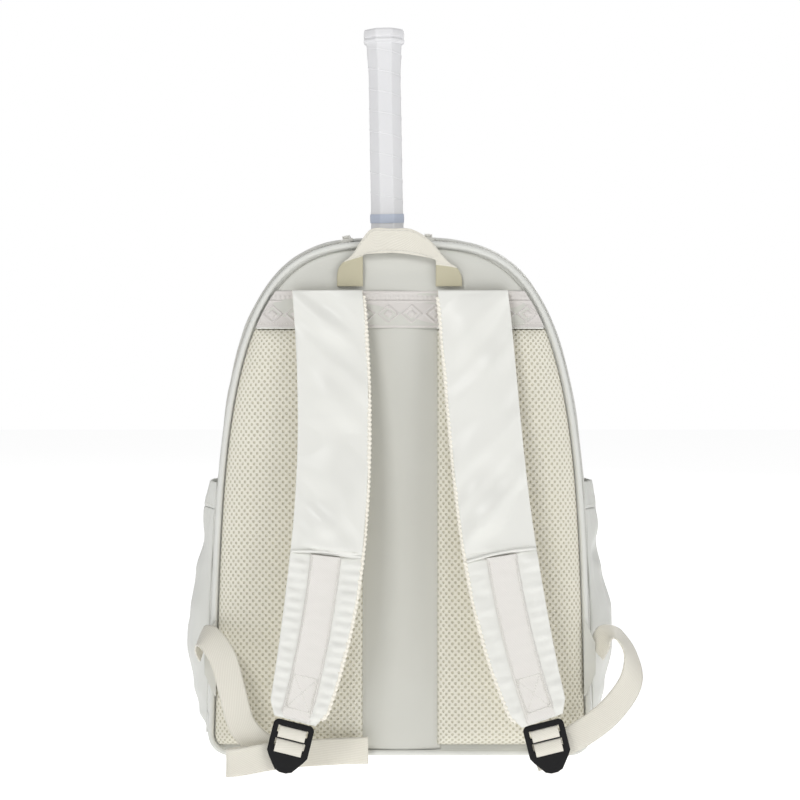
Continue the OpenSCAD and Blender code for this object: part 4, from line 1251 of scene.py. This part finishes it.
def makeStrap(side):
    tag = "right" if side > 0 else "left"
    sideName = tag.capitalize()
    body = "strap_" + tag
    seam = strap["seam"]
    seed = 3 if side > 0 else 8

    def coverOut(t, a):
        u = t / seam
        v = strap["coverOut"] + strap["crown"] * (1 - a * a)
        # soft diagonal wrinkles, deeper near the seam and under the yoke
        down, aside = t * strapLength[tag], a * strap["half"]
        diagonal = ripple(down + side * aside * 0.9, seed, aside * 0.25, 0.022, strap["diagonal"])
        v += diagonal * (0.34 + 0.66 * max(smooth((u - 0.55) / 0.4), smooth((0.25 - u) / 0.25)))
        v += ripple(down, seed, aside, 0.040, strap["wrinkle"])
        v -= strap["seamDip"] * bell(t - seam, 0.008)
        v -= 0.0018 * bell(a + side * 0.1, 0.3) * bell(t - seam + 0.035, 0.022)
        v -= 0.0010 * bell(t, 0.012)
        return min(max(v, strap["coverMin"]), strap["coverMax"])

    def coverIn(*_):
        return strap["coverIn"]

    bm = bmesh.new()
    tubeShell(bm, tag, 0.0, seam + 0.002, 150, 72, coverOut, coverIn)
    cover = pieceFrom(bm, "strapCover" + sideName, None, finish["strap"],
                      ["strap_cover_" + tag],
                      facing="closed", closeEnds=True)
    followStrap(cover, tag)

    turns = (1 - seam) * strapLength[tag] / strap["puffPitch"]

    def lowerOut(t, a):
        k = (t - seam) / (1 - seam)
        phase = k * turns * 2 * math.pi
        outerPart = smooth((abs(a) - 0.42) / 0.2)
        wave = 0.5 + 0.5 * math.cos(phase + 1.3 * math.copysign(1, a))
        pucker = strap["puff"] * (0.35 if side > 0 else 1.0) * wave * outerPart
        v = strap["coverOut"] - 0.0006 + pucker
        v += outerPart * ripple(a * 0.03, seed + 2, t * strapLength[tag], 0.012, 0.0026)
        v -= strap["lowerDip"] * bell(t - seam, 0.007)
        return min(v, strap["lowerMax"])

    bm = bmesh.new()
    tubeShell(bm, tag, seam, 1.0, 130, 64, lowerOut, coverIn)
    lower = pieceFrom(bm, "strapLower" + sideName, body, finish["strap"],
                      ["strap_lower_" + tag],
                      facing="closed", closeEnds=True)
    # foam inside, only seen in a section
    bm = bmesh.new()
    foamHalf = strap["foam"] - 0.0004
    tubeShell(bm, tag, 0.01, 0.975, 60, 24, lambda t, a: foamHalf, lambda t, a: -foamHalf, -0.0022)
    foam = pieceFrom(bm, "strapFoam" + sideName, None, finish["foam"], ["strap_foam_" + tag],
                     facing="closed",
                     closeEnds=True)
    followStrap(foam, tag)
    # mesh underside, wrapped round the foam's edges
    bm = bmesh.new()
    tubeShell(bm, tag, 0.0, 1.0, 220, 64, lambda t, a: 0.0032,
              lambda t, a: -strap["meshIn"] - 0.0008 * (1 - a * a) + ripple(t * 0.5, seed, a * 0.03, 0.04,
                                                                            0.0012),
              0.0004)
    under = pieceFrom(bm, "strapMesh" + sideName, None, finish["netUv"], ["strap_mesh_" + tag],
                      facing="closed", closeEnds=True)
    followStrap(under, tag)
    # the bound inner edge: a twisted cord of diagonal beads
    bm = bmesh.new()
    edge = -side
    length = strapLength[tag] * 0.97
    beads = round(length / strap["beadPitch"])
    count = beads * 8

    def line(u):
        t = lerp(0.015, 0.985, u)
        centre, _, across, out = strapFrame(tag, t)
        return centre + across * (edge * (strapHalf(t) + 0.0006)) + out * 0.0030, across * edge

    def cord(u, v):
        centre, out = line(u)
        way = (line(min(1, u + 1 / count))[0] - line(max(0, u - 1 / count))[0]).normalized()
        out = (out - way * out.dot(way)).normalized()
        other = way.cross(out)
        a = v * 2 * math.pi
        r = strap["bead"] * (1 + strap["twist"] * math.sin(u * beads * 2 * math.pi + a))
        return centre + out * (r * math.cos(a) * 0.9) + other * (r * math.sin(a))

    gridInto(bm, count, 10, cord, (length, 0.01))
    edging = pieceFrom(bm, "strapEdging" + sideName, None, finish["netPlain"], facing="closed",
                       closeEnds=True)
    followStrap(edging, tag)
    # rolled piping across the seam
    bm = bmesh.new()

    def seamLine(u):
        a = lerp(-0.98, 0.98, u)
        skew = 0.006 * (0.5 - u) if side > 0 else -0.004 * u
        t = seam + 0.002 - 0.010 * math.sin(u * math.pi) * 0.5 + skew
        return strapPoint(tag, t, a, 0.0062 * (1 - 0.25 * abs(a) ** 6)), strapFrame(tag, t)[3]

    tubeInto(bm, {"at": seamLine, "count": 40, "length": 0.066}, 0.0013, sides=10)
    pieceFrom(bm, "strapSeam" + sideName, body, finish["strap"], facing="closed",
              closeEnds=True)
    stitchT = seam - 0.010
    thread = []
    for i in range(25):
        a = lerp(-0.88, 0.88, i / 24)
        thread.append((strapPoint(tag, stitchT, a, coverOut(stitchT, a) - 0.0002), strapFrame(tag, seam)[3]))
    stitchPiece([thread], "seamStitching" + sideName, body, finish["thread"], 0.0024, 0.0003, 0.0032)
    # webbing stitched on the lower section
    bm = bmesh.new()
    half = strap["webHalf"]

    def web(u, v):
        t = lerp(seam + 0.004, 0.996, u)
        centre, _, across, out = strapFrame(tag, t)
        a = lerp(-half, half, v)
        lift = strap["webLift"] + 0.0009 * (1 - (a / half) ** 4) + ripple(a, seed, t, 0.02, 0.0004)
        return centre + across * a + out * lift

    gridInto(bm, 150, 14, web, (0.15, 2 * half))
    pieceFrom(bm, "strapWebbing" + sideName, body, finish["silver"], ["strap_webbing_" + tag],
              facing=(0, -1, 0), thick=strap["webWall"])
    # zigzag patch and edge stitching
    def spot(t, a):
        centre, _, across, out = strapFrame(tag, t)
        return centre + across * a + out * 0.0068, out

    lines = [[spot(lerp(seam + 0.01, 0.985, i / 60), edge * (half - 0.0016)) for i in range(61)]
             for edge in (-1, 1)]
    t0, t1 = 0.900, 0.975
    corners = [(t0, -1), (t1, 1), (t1, -1), (t0, 1), (t0, -1), (t1, -1), (t1, 1), (t0, 1)]
    for (ta, a), (tb, b) in zip(corners, corners[1:]):
        lines.append([spot(lerp(ta, tb, i / 14), lerp(a, b, i / 14) * (half - 0.003)) for i in range(15)])
    stitchPiece(lines, "strapStitching" + sideName, body, finish["thread"], 0.0024, 0.00042, 0.0028)


for side in (-1, 1):
    makeStrap(side)
print("straps made")


# buckles and adjuster webbing
# rolls are height and radius of the webbing held by the bars
locks = {"left": (-0.0965, -0.140, 0.0475), "right": (0.1305, -0.140, 0.0475), "tilt": 14,
         "rolls": [(-0.0085, 0.0058), (-0.0212, 0.0066)], "rollHalf": 0.0126, "rollFlat": 0.62}


def makeLock(side):
    tag = "right" if side > 0 else "left"
    sideName = tag.capitalize()
    body = "buckle_" + tag
    refined("ladder_lock_" + tag, "ladderLock" + sideName, body, finish["buckle"], 0.0007)
    origin = Vector(locks[tag])
    turn = Matrix.Rotation(math.radians(locks["tilt"] * -side), 3, "Y")
    bm = bmesh.new()
    for z, r in locks["rolls"]:

        def roll(u, v, z=z, r=r):
            a = v * 2 * math.pi
            x = lerp(-locks["rollHalf"], locks["rollHalf"], u)
            dent = 1 - 0.04 * bell(u - 0.5, 0.3)
            p = Vector((x, r * locks["rollFlat"] * math.cos(a) * dent, z + r * math.sin(a)))
            return origin + turn @ p

        gridInto(bm, 30, 28, roll, (0.025, 0.04))
    pieceFrom(bm, "lockRolls" + sideName, body, finish["webbing"], facing="closed", closeEnds=True)


routes = {
    # the middle of the webbing in millimetres and the direction of its width
    "left": [((-186, -83, 104), (0, 0.3, 1)), ((-188, -93, 119), (0.3, 0.5, 0.8)),
             ((-178, -106, 121), (0.7, 0.4, 0.5)), ((-164, -117, 104), (1, 0.1, 0.25)),
             ((-155, -124, 76), (1, 0, 0.2)), ((-146, -127, 46), (0.8, 0, 0.6)),
             ((-130, -127, 28), (0.35, 0, 0.95)), ((-112, -127, 20), (0, 0, 1))],
    "tailLeft": [((-104, -131, 19), (0, 0, 1)), ((-124, -136, 17), (-0.12, 0, 1)),
                 ((-146, -143, 14.5), (-0.1, 0, 1)), ((-158, -142, 13.4), (0, 0, 1)),
                 ((-154, -134, 13.2), (0, 0, 1)), ((-134, -122, 13.2), (0, 0, 1)),
                 ((-106, -108, 13.2), (0, 0, 1)), ((-70, -97, 13.2), (0, 0, 1)),
                 ((-30, -91, 13.2), (0, 0, 1))],
    "right": [((186, -83, 104), (0, 0.3, 1)), ((193, -89, 120), (-0.5, 0.8, 0.4)),
              ((205, -93, 122), (0.1, 1, 0.3)), ((216, -98, 104), (0.5, 0.85, 0.1)),
              ((215, -106, 80), (0.9, 0.4, -0.3)), ((196, -116, 56), (0.75, 0.1, -0.65)),
              ((170, -124, 38), (0.5, 0, -0.85)), ((146, -127, 26), (0.2, 0, -1))],
    "tailRight": [((140, -129.5, 22), (0, 0, -1)), ((131, -130, 18), (0, 0, -1)),
                  ((123, -131, 15), (0, 0, -1))],
}
ribbon = {"half": 0.0125, "thick": 0.0016, "crown": 0.0004}


def ribbonInto(bm, route, lengthwise):
    centres = [Vector(p) * mm for p, w in route]
    widths = [Vector(w) for p, w in route]
    length = sum((b - a).length for a, b in zip(centres, centres[1:]))

    def place(u, v):
        p = curveAt(centres, u)
        w = curveAt(widths, u).normalized()
        ahead = (curveAt(centres, min(1, u + 0.01)) - curveAt(centres, max(0, u - 0.01))).normalized()
        w = (w - ahead * w.dot(ahead)).normalized()
        n = ahead.cross(w)
        a = lerp(-1, 1, v)
        bow = ribbon["crown"] * (1 - a * a) + ripple(p.x, p.y, p.z, 0.04, 0.0008)
        q = p + w * (a * ribbon["half"]) + n * bow
        q.z = max(q.z, floorGap)
        return q

    gridInto(bm, lengthwise, 12, place, (length, 2 * ribbon["half"]))
    return length


def makeAdjuster(side):
    tag = "right" if side > 0 else "left"
    sideName = tag.capitalize()
    tailKey = "tail" + sideName
    lengths = {}
    for key, name, nodes in ((tag, "adjusterWebbing" + sideName, ["adjuster_webbing_" + tag]),
                             (tailKey, "adjusterTail" + sideName, [])):
        bm = bmesh.new()
        lengths[key] = ribbonInto(bm, routes[key], 120)
        piece = pieceFrom(bm, name, None, finish["webbing"], nodes, thick=ribbon["thick"],
                          inward=False)
        for face in piece.data.polygons:
            face.use_smooth = True
        if key == "tailLeft":
            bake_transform(piece)
        elif key == "tailRight":
            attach(piece, "buckle_right")
        else:
            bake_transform(piece)
    print("webbing lengths", {k: round(v, 3) for k, v in lengths.items()})
    # the folded tab the webbing starts from
    low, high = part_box("webbing_tab_" + tag)
    bm = bmesh.new()
    mid = (low.z + high.z) / 2

    def tab(u, v):
        inner = halfWidth(mid, 0.011)
        outer = max(abs(low.x), abs(high.x))
        x = lerp(inner, outer, u)
        tall = (high.z - low.z) / 2 * (1 - 0.62 * smooth(u * 0.85))
        z = mid + lerp(-1, 1, v) * tall
        bow = math.sin(v * math.pi)
        y = lerp(low.y, high.y, 0.35 + 0.3 * bow * (1 - u)) - 0.0006 * bow
        return Vector((side * x, y, z))

    gridInto(bm, 20, 24, tab, (0.02, 0.07))
    pieceFrom(bm, "webbingTab" + sideName, "bag", finish["front"], ["webbing_tab_" + tag],
              facing=(0, -1, 0), thick=0.0014)


for side in (-1, 1):
    makeLock(side)
    makeAdjuster(side)
print("buckles and webbing made")


# grab handle
handleStations = [
    # inner x, z and outer x, z in millimetres, then how far it stands out from the yoke
    ((-35, 450), (-59.5, 450), 0.4), ((-35, 462), (-59.5, 460), 0.8), ((-35, 472), (-58, 467), 1.2),
    ((-35, 478), (-54.5, 472), 1.6), ((-33, 480), (-45, 480), 4.0), ((-26, 480.8), (-36, 494), 6.0),
    ((-16, 481.3), (-26, 505.5), 7.2), ((-8, 481.5), (-8, 508.2), 7.8), ((3, 480.8), (8, 505.6), 8.0),
    ((14, 479.3), (20, 499.5), 7.4), ((23, 477.6), (30, 491.5), 6.2), ((30, 476), (38.5, 481.5), 4.2),
    ((33.5, 474.5), (46.5, 472.5), 2.6), ((33.8, 470), (54, 467.5), 1.6), ((33.8, 460), (58.3, 459), 0.9),
    ((33.8, 450), (58.8, 450), 0.4)]
handle = {"thick": 0.0022, "base": 0.0012}


def makeHandle():
    low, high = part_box("grab_handle")
    y0 = high.y - handle["base"]
    inner = [Vector((a[0], 0, a[1])) * mm for a, b, d in handleStations]
    outer = [Vector((b[0], 0, b[1])) * mm for a, b, d in handleStations]
    depth = [Vector((d, 0, 0)) * mm for a, b, d in handleStations]
    for p in inner + outer:
        p.z = min(p.z, high.z - 0.0002)

    def place(u, v):
        a, b, d = curveAt(inner, u), curveAt(outer, u), curveAt(depth, u).x
        p = a.lerp(b, v)
        p.y = max(y0 - d - 0.0008 * math.sin(v * math.pi), low.y + handle["thick"])
        return p

    bm = bmesh.new()
    gridInto(bm, 220, 22, place, (0.2, 0.025))
    made = pieceFrom(bm, "grabHandle", None, finish["handleBack"], ["grab_handle"],
                     facing=(0, -1, 0), thick=handle["thick"])
    made.data.materials.append(finish["webbing"])
    # the folds turn the webbing's face to the front along the top, which takes the light webbing finish; the
    # legs below keep the darker copy, painted shade
    for face in made.data.polygons:
        c = face.center
        foldZ = 0.4785 + min(0, c.x + 0.035) * 0.31 if c.x < 0 else 0.4705 - max(0, c.x - 0.0338) * 0.15
        if c.z > foldZ or abs(c.x) < 0.0335:
            face.material_index = 1
    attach(made, "handle")
    lines = []
    for v in (0.10, 0.90):
        lines.append([(place(lerp(0.27, 0.80, i / 60), v) + Vector((0, -0.0003, 0)), Vector((0, -1, 0)))
                      for i in range(61)])
    stitchPiece(lines, "handleStitching", "handle", finish["thread"], 0.0022, 0.00028, 0.0028)


makeHandle()
print("handle made")


# racket
racket = {"lean": 1.0, "x": -0.0036, "y": -0.051, "z": 0.0117, "facet": 0.0155, "flat": 0.94,
          "gripLow": 0.490, "gripHigh": 0.6725, "wrapPitch": 0.0200, "wrapRise": 0.00035,
          "bandLow": 0.5005, "bandHigh": 0.5090, "bandRise": 0.0009}


def makeRacket():
    refined("racket_frame", "racketFrame", "racket", finish["paint"], 0.0012, 2)
    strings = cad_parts["racket_strings"]
    dress(strings, finish["string"])
    lean = math.radians(racket["lean"])
    foot = Vector((racket["x"], racket["y"], racket["z"]))
    turn = Matrix.Rotation(-lean, 3, "Y")

    def octagon(a, r):
        # rounded octagon: flats on the four sides and the corners
        k = math.pi / 4
        b = (a + k / 2) % k - k / 2
        flat = math.cos(k / 2) / math.cos(b)
        return r * lerp(1, flat / math.cos(k / 2) * 0.985, 0.85)

    def onHandle(z, v, r):
        # a point at height z, v of a turn round the handle
        a = v * 2 * math.pi
        ring = octagon(a, r)
        return foot + turn @ Vector((ring * math.cos(a), ring * math.sin(a) * racket["flat"], z))

    def place(u, v):
        # u up the handle, v round it
        z = lerp(racket["gripLow"], racket["gripHigh"], u)
        r = racket["facet"]
        taper = smooth((z - 0.6400) / 0.030)
        r += 0.0014 * taper + 0.0004 * smooth((0.52 - z) / 0.03)
        seam = ((z / racket["wrapPitch"] + v) % 1.0)
        r += racket["wrapRise"] * (bell(seam, 0.05) + bell(1 - seam, 0.02) * 0.4)
        r -= racket["wrapRise"] * 0.9 * bell(seam - 0.97, 0.016)
        return onHandle(z, v, r)

    bm = bmesh.new()
    gridInto(bm, 420, 96, place, (0.18, 0.1))
    pieceFrom(bm, "racketGrip", "racket", finish["grip"], ["racket_grip"], facing="closed",
              closeEnds=True)
    profile = [(0.6715, 0.0160), (0.6722, 0.0172), (0.6738, 0.0196), (0.6752, 0.0199), (0.6762, 0.0194),
               (0.6770, 0.0187), (0.6778, 0.0187), (0.6788, 0.0195), (0.6810, 0.0197), (0.6840, 0.0195),
               (0.6853, 0.0186), (0.6860, 0.0168), (0.6863, 0.0100), (0.6863, 0.0006)]

    def capAt(u, v):
        i = u * (len(profile) - 1)
        k = min(int(i), len(profile) - 2)
        t = i - k
        z = lerp(profile[k][0], profile[k + 1][0], t)
        return onHandle(z, v, lerp(profile[k][1], profile[k + 1][1], t))

    bm = bmesh.new()
    gridInto(bm, 78, 96, capAt, (0.02, 0.1))
    pieceFrom(bm, "racketButtCap", "racket", finish["grip"], ["racket_butt_cap"],
              facing="closed",
              closeEnds=True)

    # the wrap's closing band
    def band(u, v):
        z = lerp(racket["bandLow"], racket["bandHigh"], u) + 0.0012 * math.sin(v * 2 * math.pi)
        return onHandle(z, v, racket["facet"] + racket["bandRise"] + 0.0002 * math.sin(u * math.pi))

    bm = bmesh.new()
    gridInto(bm, 8, 96, band, (0.01, 0.1))
    pieceFrom(bm, "gripBand", "racket", finish["band"],
              facing=lambda p: Vector((p.x - racket["x"], p.y - racket["y"], 0)))


makeRacket()
print("racket made")


# zip sliders and pullers
def makeSliders():
    for node in sorted(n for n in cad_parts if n.endswith(("_slider_left", "_slider_right",
                                                                "pocket_slider"))
                       or "_puller_" in n or n == "pocket_puller"):
        words = node.split("_")
        name = words[0] + "".join(w.capitalize() for w in words[1:])
        refined(node, name, node, finish["metal"], 0.0003, 2)


makeSliders()
print("sliders made")
